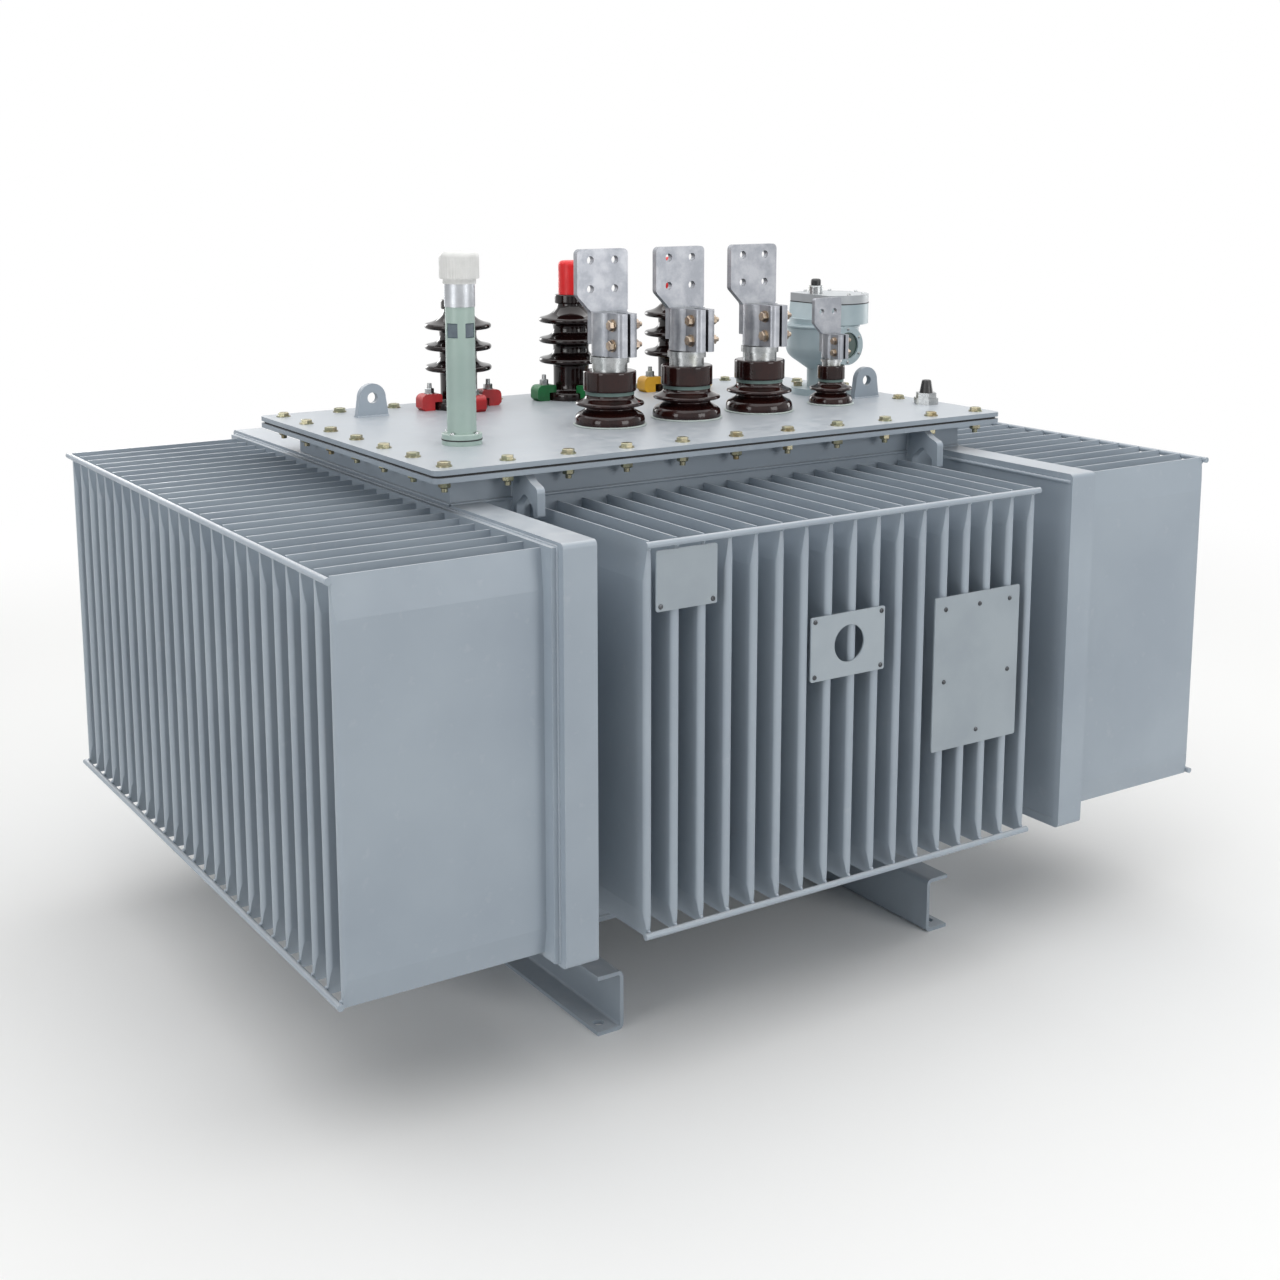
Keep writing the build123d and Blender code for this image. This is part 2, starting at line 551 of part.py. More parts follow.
def lv_bushing():
    """Pieces of a low-voltage bushing, the palm with four bolt holes."""
    insulator = two_shed_insulator(LV_SHED_RADIUS, LV_WAIST_RADIUS, LV_SHED_RIM, LV_WAIST_HEIGHT,
                                   LV_SHED_RISE, LV_LIP, LV_NECK_RADIUS, LV_BODY_HEIGHT, LV_ROUND)
    ring, sleeve, bolt, base = clamp_stack(LV_BODY_HEIGHT, LV_SEAL_HEIGHT, LV_NECK_RADIUS, LV_COLLAR_RADIUS,
                                           LV_COLLAR_HEIGHT, LV_NUT_RADIUS, LV_NUT_HEIGHT, LV_WASHER_RADIUS,
                                           LV_WASHER_HEIGHT, LV_STUD_RADIUS, LV_CLAMP_HEIGHT)
    terminal = clamp_terminal(base, LV_CLAMP_RADIUS, LV_CLAMP_HEIGHT, LV_STUD_RADIUS, LV_EAR_HALF,
                              LV_EAR_REACH, LV_SLOT, LV_PALM_WIDTH, LV_PALM_OFFSET, LV_PALM_HEIGHT,
                              LV_PALM_THICKNESS, LV_PALM_BACK, LV_PALM_CORNER)
    hole = along_y(LV_HOLE_RADIUS, 4 * LV_PALM_THICKNESS)
    upper = base + LV_CLAMP_HEIGHT + LV_PALM_HEIGHT - LV_HOLE_DROP
    half = LV_HOLE_PITCH / 2
    terminal -= [Pos(LV_PALM_OFFSET + x, LV_PALM_BACK, z) * hole
                 for x in (-half, half) for z in (upper, upper - LV_HOLE_PITCH)]
    return insulator, ring, sleeve, bolt, terminal


def neutral_bushing():
    """Pieces of the neutral bushing, the palm with two bolt holes."""
    insulator = two_shed_insulator(NEUTRAL_SHED_RADIUS, NEUTRAL_WAIST_RADIUS, NEUTRAL_SHED_RIM,
                                   NEUTRAL_WAIST_HEIGHT, NEUTRAL_SHED_RISE, NEUTRAL_LIP,
                                   NEUTRAL_NECK_RADIUS, NEUTRAL_BODY_HEIGHT, NEUTRAL_ROUND)
    ring, sleeve, bolt, base = clamp_stack(NEUTRAL_BODY_HEIGHT, NEUTRAL_SEAL_HEIGHT, NEUTRAL_NECK_RADIUS,
                                           NEUTRAL_COLLAR_RADIUS, NEUTRAL_COLLAR_HEIGHT, NEUTRAL_NUT_RADIUS,
                                           NEUTRAL_NUT_HEIGHT, NEUTRAL_WASHER_RADIUS, NEUTRAL_WASHER_HEIGHT,
                                           NEUTRAL_STUD_RADIUS, NEUTRAL_CLAMP_HEIGHT)
    terminal = clamp_terminal(base, NEUTRAL_CLAMP_RADIUS, NEUTRAL_CLAMP_HEIGHT, NEUTRAL_STUD_RADIUS,
                              NEUTRAL_EAR_HALF, NEUTRAL_EAR_REACH, NEUTRAL_SLOT, NEUTRAL_PALM_WIDTH,
                              NEUTRAL_PALM_OFFSET, NEUTRAL_PALM_HEIGHT, NEUTRAL_PALM_THICKNESS,
                              NEUTRAL_PALM_BACK, NEUTRAL_PALM_CORNER)
    hole = along_y(NEUTRAL_HOLE_RADIUS, 4 * NEUTRAL_PALM_THICKNESS)
    level = base + NEUTRAL_CLAMP_HEIGHT + NEUTRAL_PALM_HEIGHT - NEUTRAL_HOLE_DROP
    half = NEUTRAL_HOLE_PITCH / 2
    terminal -= [Pos(NEUTRAL_PALM_OFFSET + x, NEUTRAL_PALM_BACK, level) * hole for x in (-half, half)]
    return insulator, ring, sleeve, bolt, terminal


def hv_insulator():
    """High-voltage porcelain: flat foot, core with thin drooping sheds and a tapered neck."""
    ledge = HV_FOOT_RADIUS - HV_FOOT_LEDGE
    points = [(0, 0, 0), (HV_FOOT_RADIUS, 0, 0), (HV_FOOT_RADIUS, HV_FOOT_HEIGHT, HV_SHED_ROUND),
              (ledge, HV_FOOT_HEIGHT, 0), (HV_CORE_RADIUS, HV_FOOT_HEIGHT + ledge - HV_CORE_RADIUS, 0)]
    for index in range(HV_SHEDS):
        under = HV_FIRST_SHED + index * HV_SHED_PITCH
        over = under + HV_SHED_RIM
        points += [(HV_CORE_RADIUS, under - HV_SHED_UNDER, 0), (HV_SHED_RADIUS, under, HV_SHED_ROUND),
                   (HV_SHED_RADIUS, over, HV_SHED_ROUND), (HV_CORE_RADIUS, over + HV_SHED_OVER, 0)]
    points[-1] = (HV_NECK_RADIUS, HV_BODY_HEIGHT, 0)
    return lathe(points + [(0, HV_BODY_HEIGHT, 0)])


def hv_top():
    """Dark collar and domed cap on the porcelain."""
    cap_base = HV_BODY_HEIGHT + HV_COLLAR_HEIGHT
    cap_top = cap_base + HV_CAP_HEIGHT
    collar = lathe([(0, HV_BODY_HEIGHT, 0), (HV_COLLAR_RADIUS, HV_BODY_HEIGHT, HV_SHED_ROUND),
                    (HV_COLLAR_RADIUS, cap_base, HV_SHED_ROUND), (0, cap_base, 0)])
    cap = lathe([(0, cap_base, 0), (HV_CAP_RADIUS, cap_base, 0), (HV_CAP_RADIUS, cap_top, HV_CAP_ROUND),
                 (0, cap_top, 0)])
    return collar, cap


def hv_claw():
    """Bridge clamp that holds the porcelain foot down, built on the +X side."""
    bite = HV_FOOT_RADIUS - CLAW_BITE
    leg = HV_FOOT_RADIUS + CLAW_GAP
    heel = leg + CLAW_LEG
    top = HV_FOOT_HEIGHT + CLAW_ARM
    profile = [(bite, HV_FOOT_HEIGHT, 0), (leg, HV_FOOT_HEIGHT, 0), (leg, 0, 0), (heel - CLAW_HEEL, 0, 0),
               (heel, CLAW_HEEL, 0), (heel, top, CLAW_SHOULDER), (bite, top, CLAW_NOSE)]
    return extrude(Plane.XZ * outline(profile), CLAW_WIDTH / 2, both=True)


def relay_body():
    """Cast housing of the gas relay: foot, neck, round bowl and sight-glass boss."""
    bowl = RELAY_NECK_TOP + RELAY_BOWL_RISE
    body = lathe([
        (0, 0, 0), (RELAY_FOOT_RADIUS, 0, 0), (RELAY_FOOT_RADIUS, RELAY_FOOT_HEIGHT, 0),
        (RELAY_NECK_RADIUS, RELAY_FOOT_HEIGHT, 0), (RELAY_NECK_RADIUS, RELAY_NECK_TOP, 0),
        (RELAY_BOWL_RADIUS, bowl, RELAY_BOWL_ROUND), (RELAY_BOWL_RADIUS, RELAY_HEAD_BASE, 0),
        (0, RELAY_HEAD_BASE, 0),
    ])
    body += Pos(0, -RELAY_BOSS_REACH / 2, RELAY_BOSS_HEIGHT) * along_y(RELAY_BOSS_RADIUS, RELAY_BOSS_REACH)
    deep = 2 * (RELAY_GLASS_SET + RELAY_GLASS_THICKNESS)
    return body - Pos(0, -RELAY_BOSS_REACH, RELAY_BOSS_HEIGHT) * along_y(RELAY_GLASS_RADIUS, deep)


def relay_glass():
    """Sight glass set back in the boss."""
    y = RELAY_GLASS_SET + RELAY_GLASS_THICKNESS / 2 - RELAY_BOSS_REACH
    return Pos(0, y, RELAY_BOSS_HEIGHT) * along_y(RELAY_GLASS_RADIUS - RELAY_GLASS_FIT, RELAY_GLASS_THICKNESS)


def relay_head():
    """Round terminal chamber and its lid, cut down to a ledge on the left."""
    left, right = RELAY_HEAD_SHIFT - RELAY_HEAD_RADIUS, RELAY_HEAD_SHIFT + RELAY_HEAD_RADIUS
    ledge = left + RELAY_LEDGE_WIDTH
    brow = ledge + RELAY_SLOPE_WIDTH
    lid_top = RELAY_LID_BASE + RELAY_LID_HEIGHT
    ledge_z = RELAY_HEAD_BASE + RELAY_LEDGE_HEIGHT
    profile = [(left, RELAY_HEAD_BASE, 0), (right, RELAY_HEAD_BASE, 0), (right, RELAY_LID_BASE, 0),
               (brow, RELAY_LID_BASE, 0), (ledge, ledge_z, 0), (left, ledge_z, 0)]
    front_back = extrude(Plane.XZ * outline(profile), RELAY_HEAD_RADIUS, both=True)
    shift = Pos(RELAY_HEAD_SHIFT, 0, 0)
    head = front_back & (shift * upright(RELAY_HEAD_RADIUS, RELAY_HEAD_BASE, RELAY_LID_BASE))
    disc = shift * upright(RELAY_HEAD_RADIUS, RELAY_LID_BASE, lid_top)
    lid = disc & block((brow, right), (-RELAY_HEAD_RADIUS, RELAY_HEAD_RADIUS), (RELAY_LID_BASE, lid_top))
    return head, lid


def relay_cock():
    """Vent cock on the lid: round body and a domed tip."""
    base = RELAY_LID_BASE + RELAY_LID_HEIGHT
    shoulder = base + COCK_HEIGHT
    top = shoulder + COCK_TIP_HEIGHT
    body = lathe([(0, base, 0), (COCK_RADIUS, base, 0), (COCK_RADIUS, shoulder, COCK_RADIUS / 5),
                  (0, shoulder, 0)])
    tip = lathe([(0, shoulder, 0), (COCK_TIP_RADIUS, shoulder, 0),
                 (COCK_TIP_RADIUS, top, COCK_TIP_RADIUS / 2), (0, top, 0)])
    return Pos(COCK_X, 0, 0) * body, Pos(COCK_X, 0, 0) * tip


def thermometer_pocket():
    """Two stacked hexagons and a tapered cap."""
    shoulder = POCKET_HEX_HEIGHT + POCKET_NUT_HEIGHT
    base = extrude(RegularPolygon(POCKET_HEX, 6), POCKET_HEX_HEIGHT)
    base += Pos(0, 0, POCKET_HEX_HEIGHT) * extrude(RegularPolygon(POCKET_NUT, 6), POCKET_NUT_HEIGHT)
    top = shoulder + POCKET_CAP_HEIGHT
    cap = lathe([(0, shoulder, 0), (POCKET_CAP_RADIUS, shoulder, 0),
                 (POCKET_CAP_TOP, top, POCKET_CAP_TOP / 3), (0, top, 0)])
    return base, cap


def tank_parts():
    """Feet, shell, fins, cover joint and lifting points."""
    channel, box, wall, panel = base_channel(), header_box(), side_wall(), end_panel()
    front_bank = fin_bank(FRONT_FINS, FRONT_PITCH, FRONT_FIN_DEPTH, FRONT_FIN_BOTTOM, FRONT_FIN_TOP,
                          TANK_HALF_Y)
    end_bank = fin_bank(END_FINS, END_PITCH, END_FIN_DEPTH, END_FIN_BOTTOM, END_FIN_TOP, PANEL_FACE_X)
    hooks = [Pos(x, 0, 0) * lifting_hook() for x in (-HOOK_X, HOOK_X)]
    opening = block((WALL - BOX_OUTER_X, BOX_OUTER_X - WALL), (WALL - TANK_HALF_Y, TANK_HALF_Y - WALL),
                    (FLANGE_BOTTOM, GASKET_TOP))
    flange = slab(COVER_HALF_X, COVER_HALF_Y, COVER_CORNER, FLANGE_BOTTOM, FLANGE_TOP)
    gasket = slab(COVER_HALF_X - GASKET_INSET, COVER_HALF_Y - GASKET_INSET, COVER_CORNER,
                  FLANGE_TOP, GASKET_TOP)
    parts = {
        "base_channel_right": channel,
        "base_channel_left": mirror(channel, about=Plane.YZ),
        "tank_floor": block((-BOX_INNER_X, BOX_INNER_X), (-TANK_HALF_Y, TANK_HALF_Y),
                            (CHANNEL_HEIGHT, FLOOR_TOP)),
        "tank_skirt": wall_ring(BOX_INNER_X, TANK_HALF_Y, FLOOR_TOP, BOX_BOTTOM),
        "tank_neck": wall_ring(BOX_OUTER_X, TANK_HALF_Y, BOX_TOP, FLANGE_BOTTOM),
        "tank_flange": flange - opening,
        "cover_gasket": gasket - opening,
        "cover_plate": slab(COVER_HALF_X, COVER_HALF_Y, COVER_CORNER, GASKET_TOP, COVER_TOP),
        "right_header_box": box,
        "left_header_box": mirror(box, about=Plane.YZ),
        "lifting_lug_left": on_cover(*LUG_LEFT) * lifting_lug(),
        "lifting_lug_right": on_cover(*LUG_RIGHT) * lifting_lug(),
        "small_plate": tip_plate(*SMALL_PLATE),
        "gauge_plate": gauge_plate(),
        "large_plate": tip_plate(*LARGE_PLATE),
    }
    for side in ("front", "back"):
        parts[f"{side}_wall"] = facing(side) * wall
        parts[f"{side}_fins"] = Compound([facing(side) * piece for piece in front_bank])
        parts[f"{side}_lifting_hooks"] = Compound([facing(side) * hook for hook in hooks])
    for side in ("left", "right"):
        parts[f"{side}_end_panel"] = facing(side) * panel
        parts[f"{side}_fins"] = Compound([facing(side) * piece for piece in end_bank])
    return parts


def bushing_parts():
    """Low-voltage, neutral and high-voltage bushings along the cover."""
    parts = {}
    places = {f"lv_{phase}": on_cover(x, LV_Y) for phase, x in zip("abc", LV_XS)}
    places["neutral"] = on_cover(NEUTRAL_X, LV_Y)
    rings, sleeves, bolts = [], [], []
    for name, place in places.items():
        made = neutral_bushing() if name == "neutral" else lv_bushing()
        insulator, ring, sleeve, bolt, terminal = (place * piece for piece in made)
        parts[f"{name}_insulator"] = insulator
        parts[f"{name}_terminal"] = terminal
        rings.append(ring)
        sleeves.append(sleeve)
        bolts.append(bolt)
    parts["bushing_seals"] = Compound(rings)
    parts["bushing_collars"] = Compound(sleeves)
    parts["bushing_studs"] = Compound(bolts)
    collars, caps = [], []
    for phase, x in zip("abc", HV_XS):
        place = on_cover(x, HV_Y)
        parts[f"hv_{phase}_insulator"] = place * hv_insulator()
        claws = [place * Rot(0, 0, angle) * hv_claw() for angle in CLAW_ANGLES]
        parts[f"hv_{phase}_clamps"] = Compound(claws)
        collar, cap = hv_top()
        collars.append(place * collar)
        caps.append(place * cap)
    parts["hv_collars"] = Compound(collars)
    parts["hv_caps"] = Compound(caps)
    return parts


def fitting_parts():
    """Oil filler, gas relay and thermometer pocket."""
    parts = {name: on_cover(*FILLER_PLACE) * piece for name, piece in filler().items()}
    head, lid = relay_head()
    cock, cock_tip = relay_cock()
    relay = {"relay_body": relay_body(), "relay_glass": relay_glass(), "relay_head": head, "relay_lid": lid,
             "relay_cock": cock, "relay_cock_tip": cock_tip}
    parts.update({name: on_cover(*RELAY_PLACE) * piece for name, piece in relay.items()})
    base, cap = thermometer_pocket()
    parts["pocket_base"] = on_cover(*POCKET_PLACE) * base
    parts["pocket_cap"] = on_cover(*POCKET_PLACE) * cap
    return parts


def main():
    """Write one STEP file for each subcomponent."""
    os.makedirs("parts", exist_ok=True)
    for name, shape in {**tank_parts(), **bushing_parts(), **fitting_parts()}.items():
        export_step(shape, os.path.join("parts", f"{name}.step"))


main()
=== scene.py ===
"""Looks of an oil-filled power transformer with corrugated cooling fins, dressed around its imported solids."""

import logging
import math
from abc import ABC, abstractmethod
from collections.abc import Iterable
from dataclasses import dataclass
from enum import Enum
from functools import cache
from typing import Any

import bpy
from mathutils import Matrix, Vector


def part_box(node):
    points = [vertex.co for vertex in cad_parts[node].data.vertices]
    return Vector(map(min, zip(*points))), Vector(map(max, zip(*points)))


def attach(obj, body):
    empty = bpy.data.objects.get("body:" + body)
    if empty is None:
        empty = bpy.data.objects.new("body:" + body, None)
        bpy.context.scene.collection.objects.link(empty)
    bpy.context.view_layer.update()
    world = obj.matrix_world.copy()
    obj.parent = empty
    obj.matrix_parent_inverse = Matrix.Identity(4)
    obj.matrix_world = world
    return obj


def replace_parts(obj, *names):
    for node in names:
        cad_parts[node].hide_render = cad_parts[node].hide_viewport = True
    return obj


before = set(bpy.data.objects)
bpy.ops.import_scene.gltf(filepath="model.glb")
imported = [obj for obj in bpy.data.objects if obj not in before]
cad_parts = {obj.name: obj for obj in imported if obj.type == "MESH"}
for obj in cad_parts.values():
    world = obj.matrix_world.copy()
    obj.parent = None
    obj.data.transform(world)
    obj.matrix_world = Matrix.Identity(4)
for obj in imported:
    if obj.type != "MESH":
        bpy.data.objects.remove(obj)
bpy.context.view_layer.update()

LOG = logging.getLogger("transformer")
BODY = "root"
MM = 0.001
PHASES = "abc"


class Slot(Enum):
    """Material slots of the record."""

    TANK_PAINT = "tank_paint"
    GASKET_RUBBER = "gasket_rubber"
    SEAL_RUBBER = "seal_rubber"
    BROWN_PORCELAIN = "brown_porcelain"
    DARK_PORCELAIN = "dark_porcelain"
    BARE_ALUMINIUM = "bare_aluminium"
    ZINC_STEEL = "zinc_steel"
    BLANK_PLATE = "blank_plate"
    BRACKET_PLATE = "bracket_plate"
    PALE_GREEN_PAINT = "pale_green_paint"
    RELAY_PAINT = "relay_paint"
    WHITE_PLASTIC = "white_plastic"
    BLACK_PLASTIC = "black_plastic"
    RED_PLASTIC = "red_plastic"
    RED_PAINT = "red_paint"
    GREEN_PAINT = "green_paint"
    YELLOW_PAINT = "yellow_paint"
    SIGHT_GLASS = "sight_glass"


class Aim(Enum):
    """Directions in which a fastener's head or a bank of fins can point."""

    UP = (0.0, 0.0, 1.0)
    DOWN = (0.0, 0.0, -1.0)
    LEFT = (-1.0, 0.0, 0.0)
    RIGHT = (1.0, 0.0, 0.0)
    FRONT = (0.0, -1.0, 0.0)
    BACK = (0.0, 1.0, 0.0)


# Position and direction of a fastener, points of a bead, foot point with radius and height of a turned
# shape, and points with faces of a mesh, all in metres; pairs of numbers in the unit of their field.
Place = tuple[Vector, Aim]
Line = list[Vector]
Stand = tuple[Vector, float, float]
Shape = tuple[list[Vector], list[tuple[int, ...]]]
Pairs = tuple[tuple[float, float], ...]
Tree = bpy.types.NodeTree
Node = bpy.types.Node
Socket = bpy.types.NodeSocket


def linear(code: str) -> tuple[float, float, float, float]:
    """Turns an sRGB hex colour to linear values.

    Args:
        code: Six hex digits after a hash.

    Returns:
        Red, green, blue and a full alpha.
    """
    parts = [int(code[i:i + 2], 16) / 255 for i in (1, 3, 5)]
    red, green, blue = (c / 12.92 if c <= 0.04045 else ((c + 0.055) / 1.055) ** 2.4 for c in parts)
    return red, green, blue, 1.0


def per_size(size_mm: float) -> float:
    """Pattern scale at which one feature is about size_mm wide."""
    return 1.0 / (size_mm * MM)


def add_node(tree: Tree, kind: str, values: dict[str | int, Any] | None = None) -> Node:
    """Adds a node with its settings and links.

    Args:
        tree: Node tree of a material, the world or a geometry modifier.
        kind: Blender's name of the node type.
        values: What goes to each input in use, by its name or number, or else to a property. A socket
            is linked, a node is linked by its first output in use, and a list is linked one by one.

    Returns:
        The new node.
    """
    node = tree.nodes.new(kind)
    for key, value in (values or {}).items():
        inputs = [socket for i, socket in enumerate(node.inputs) if socket.enabled and key in (i, socket.name)]
        if not inputs:
            setattr(node, key, value)
            continue
        for source in value if isinstance(value, list) else [value]:
            if isinstance(source, Node):
                source = next(socket for socket in source.outputs if socket.enabled)
            if isinstance(source, Socket):
                tree.links.new(source, inputs[0])
            else:
                inputs[0].default_value = source
    return node


@dataclass(frozen=True)
class Finish(ABC):
    """Surface that a piece wears, with its slot in the record."""

    name: str
    slot: Slot
    colour: str

    @cache
    def material(self) -> bpy.types.Material:
        """Builds the finish once.

        Returns:
            A node material on Object coordinates.
        """
        material = bpy.data.materials.new(self.name)
        material.use_nodes = True
        tree = material.node_tree
        tree.nodes.clear()
        coords = add_node(tree, "ShaderNodeTexCoord").outputs["Object"]
        add_node(tree, "ShaderNodeOutputMaterial", {"Surface": self.shader(tree, coords)})
        return material

    @abstractmethod
    def shader(self, tree: Tree, coords: Socket) -> Node:
        """Shader of the finish, fed by its patterns.

        Args:
            tree: Node tree of the material.
            coords: Object coordinates.

        Returns:
            A Principled shader.
        """


@dataclass(frozen=True)
class GlossPaint(Finish):
    """Sprayed enamel on steel: faint orange peel, paler where it faces up from dust and painted light from above,
    dull scuffs.
    """

    shade: str
    # Pale colour of dust and scuffs; on level faces it is also painted light from above.
    dust_and_top_light: str
    rough_low: float = 0.32
    rough_high: float = 0.50
    drift_mm: float = 210.0
    # Real orange peel is about 1 mm wide: it is drawn coarser, so that it shows.
    peel_mm: float = 3.0
    peel_depth: float = 0.05
    scuff_mm: float = 26.0
    # Share of the pale colour on level faces: dust together with painted light from above.
    top_light_and_dust_share: float = 0.4

    def shader(self, tree: Tree, coords: Socket) -> Node:
        """Shader of the finish, fed by its patterns.

        Args:
            tree: Node tree of the material.
            coords: Object coordinates.

        Returns:
            A Principled shader.
        """
        cloud = add_node(tree, "ShaderNodeTexNoise", {
            "Vector": coords, "Scale": per_size(self.drift_mm), "Detail": 4.0})
        drift = add_node(tree, "ShaderNodeMapRange", {"Value": cloud, "From Min": 0.35, "From Max": 0.68})
        tone = add_node(tree, "ShaderNodeMix", {
            "data_type": "RGBA", "Factor": drift, "A": linear(self.colour), "B": linear(self.shade)})
        normal = add_node(tree, "ShaderNodeNewGeometry").outputs["Normal"]
        rise = add_node(tree, "ShaderNodeSeparateXYZ", {"Vector": normal}).outputs["Z"]
        # Faces that look up are mixed towards the pale colour: partly settled dust, partly painted light from
        # above.
        level = add_node(tree, "ShaderNodeMapRange", {
            "Value": rise, "From Min": 0.55, "From Max": 0.98, "To Max": self.top_light_and_dust_share})
        grit = add_node(tree, "ShaderNodeTexNoise", {
            "Vector": coords, "Scale": per_size(self.scuff_mm), "Detail": 6.0, "Roughness": 0.62})
        patchy = add_node(tree, "ShaderNodeMapRange", {
            "Value": grit, "From Min": 0.3, "From Max": 0.7, "To Min": 0.5})
        dust_and_top_light_mask = add_node(tree, "ShaderNodeMath", {"operation": "MULTIPLY", 0: level, 1: patchy})
        dusty_and_top_lit = add_node(tree, "ShaderNodeMix", {
            "data_type": "RGBA", "Factor": dust_and_top_light_mask, "A": tone, "B": linear(self.dust_and_top_light)})
        scuff = add_node(tree, "ShaderNodeMapRange", {
            "Value": grit, "From Min": 0.60, "From Max": 0.74, "To Max": 0.16})
        worn = add_node(tree, "ShaderNodeMix", {
            "data_type": "RGBA", "Factor": scuff, "A": dusty_and_top_lit, "B": linear(self.dust_and_top_light)})
        rough = add_node(tree, "ShaderNodeMapRange", {
            "Value": grit, "From Min": 0.3, "From Max": 0.72, "To Min": self.rough_low, "To Max": self.rough_high})
        peel = add_node(tree, "ShaderNodeTexNoise", {"Vector": coords, "Scale": per_size(self.peel_mm)})
        bump = add_node(tree, "ShaderNodeBump", {
            "Height": peel, "Distance": self.peel_depth * MM, "Strength": 0.16})
        return add_node(tree, "ShaderNodeBsdfPrincipled", {
            "Base Color": worn, "Roughness": rough, "Normal": bump, "IOR": 1.5, "Coat Weight": 0.08,
            "Coat Roughness": 0.2})


@dataclass(frozen=True)
class PlatedSteel(Finish):
    """Electroplated steel: metal mirror broken by a fine grain, with tints that wander over the plating."""

    tint: str
    stain: str
    tint_mm: float = 14.0
    stain_mm: float = 37.8
    # The grain of a plating is about 0.2 mm: it is drawn coarser, so that it shows.
    grain_mm: float = 1.6
    grain_depth: float = 0.04
    rough_low: float = 0.22
    rough_high: float = 0.4

    def shader(self, tree: Tree, coords: Socket) -> Node:
        """Shader of the finish, fed by its patterns.

        Args:
            tree: Node tree of the material.
            coords: Object coordinates.

        Returns:
            A Principled shader.
        """
        cloud = add_node(tree, "ShaderNodeTexNoise", {
            "Vector": coords, "Scale": per_size(self.tint_mm), "Detail": 3.0})
        patches = add_node(tree, "ShaderNodeMapRange", {"Value": cloud, "From Min": 0.38, "From Max": 0.62})
        tone = add_node(tree, "ShaderNodeMix", {
            "data_type": "RGBA", "Factor": patches, "A": linear(self.colour), "B": linear(self.tint)})
        blots = add_node(tree, "ShaderNodeTexNoise", {
            "Vector": coords, "Scale": per_size(self.stain_mm), "Detail": 5.0, "Roughness": 0.6})
        spots = add_node(tree, "ShaderNodeMapRange", {
            "Value": blots, "From Min": 0.56, "From Max": 0.70, "To Max": 0.7})
        stained = add_node(tree, "ShaderNodeMix", {
            "data_type": "RGBA", "Factor": spots, "A": tone, "B": linear(self.stain)})
        grain = add_node(tree, "ShaderNodeTexNoise", {
            "Vector": coords, "Scale": per_size(self.grain_mm), "Detail": 4.0, "Roughness": 0.6})
        rough = add_node(tree, "ShaderNodeMapRange", {
            "Value": grain, "From Min": 0.3, "From Max": 0.7, "To Min": self.rough_low, "To Max": self.rough_high})
        bump = add_node(tree, "ShaderNodeBump", {
            "Height": grain, "Distance": self.grain_depth * MM, "Strength": 0.2})
        return add_node(tree, "ShaderNodeBsdfPrincipled", {
            "Base Color": stained, "Roughness": rough, "Normal": bump, "Metallic": 1.0})


@dataclass(frozen=True)
class CastMetal(Finish):
    """Aluminium casting cleaned by blasting: matt grain with brighter rubbed patches."""

    rubbed: str
    # A blasted grain is about 0.5 mm: it is drawn coarser, so that it shows.
    grain_mm: float = 2.2
    grain_depth: float = 0.12
    patch_mm: float = 34.0
    rough_low: float = 0.30
    rough_high: float = 0.52

    def shader(self, tree: Tree, coords: Socket) -> Node:
        """Shader of the finish, fed by its patterns.

        Args:
            tree: Node tree of the material.
            coords: Object coordinates.

        Returns:
            A Principled shader.
        """
        cloud = add_node(tree, "ShaderNodeTexNoise", {
            "Vector": coords, "Scale": per_size(self.patch_mm), "Detail": 5.0, "Roughness": 0.6})
        patches = add_node(tree, "ShaderNodeMapRange", {"Value": cloud, "From Min": 0.4, "From Max": 0.62})
        tone = add_node(tree, "ShaderNodeMix", {
            "data_type": "RGBA", "Factor": patches, "A": linear(self.colour), "B": linear(self.rubbed)})
        grain = add_node(tree, "ShaderNodeTexNoise", {
            "Vector": coords, "Scale": per_size(self.grain_mm), "Detail": 5.0, "Roughness": 0.65})
        rough = add_node(tree, "ShaderNodeMapRange", {
            "Value": grain, "From Min": 0.3, "From Max": 0.7, "To Min": self.rough_low, "To Max": self.rough_high})
        bump = add_node(tree, "ShaderNodeBump", {
            "Height": grain, "Distance": self.grain_depth * MM, "Strength": 0.3})
        return add_node(tree, "ShaderNodeBsdfPrincipled", {
            "Base Color": tone, "Roughness": rough, "Normal": bump, "Metallic": 1.0})


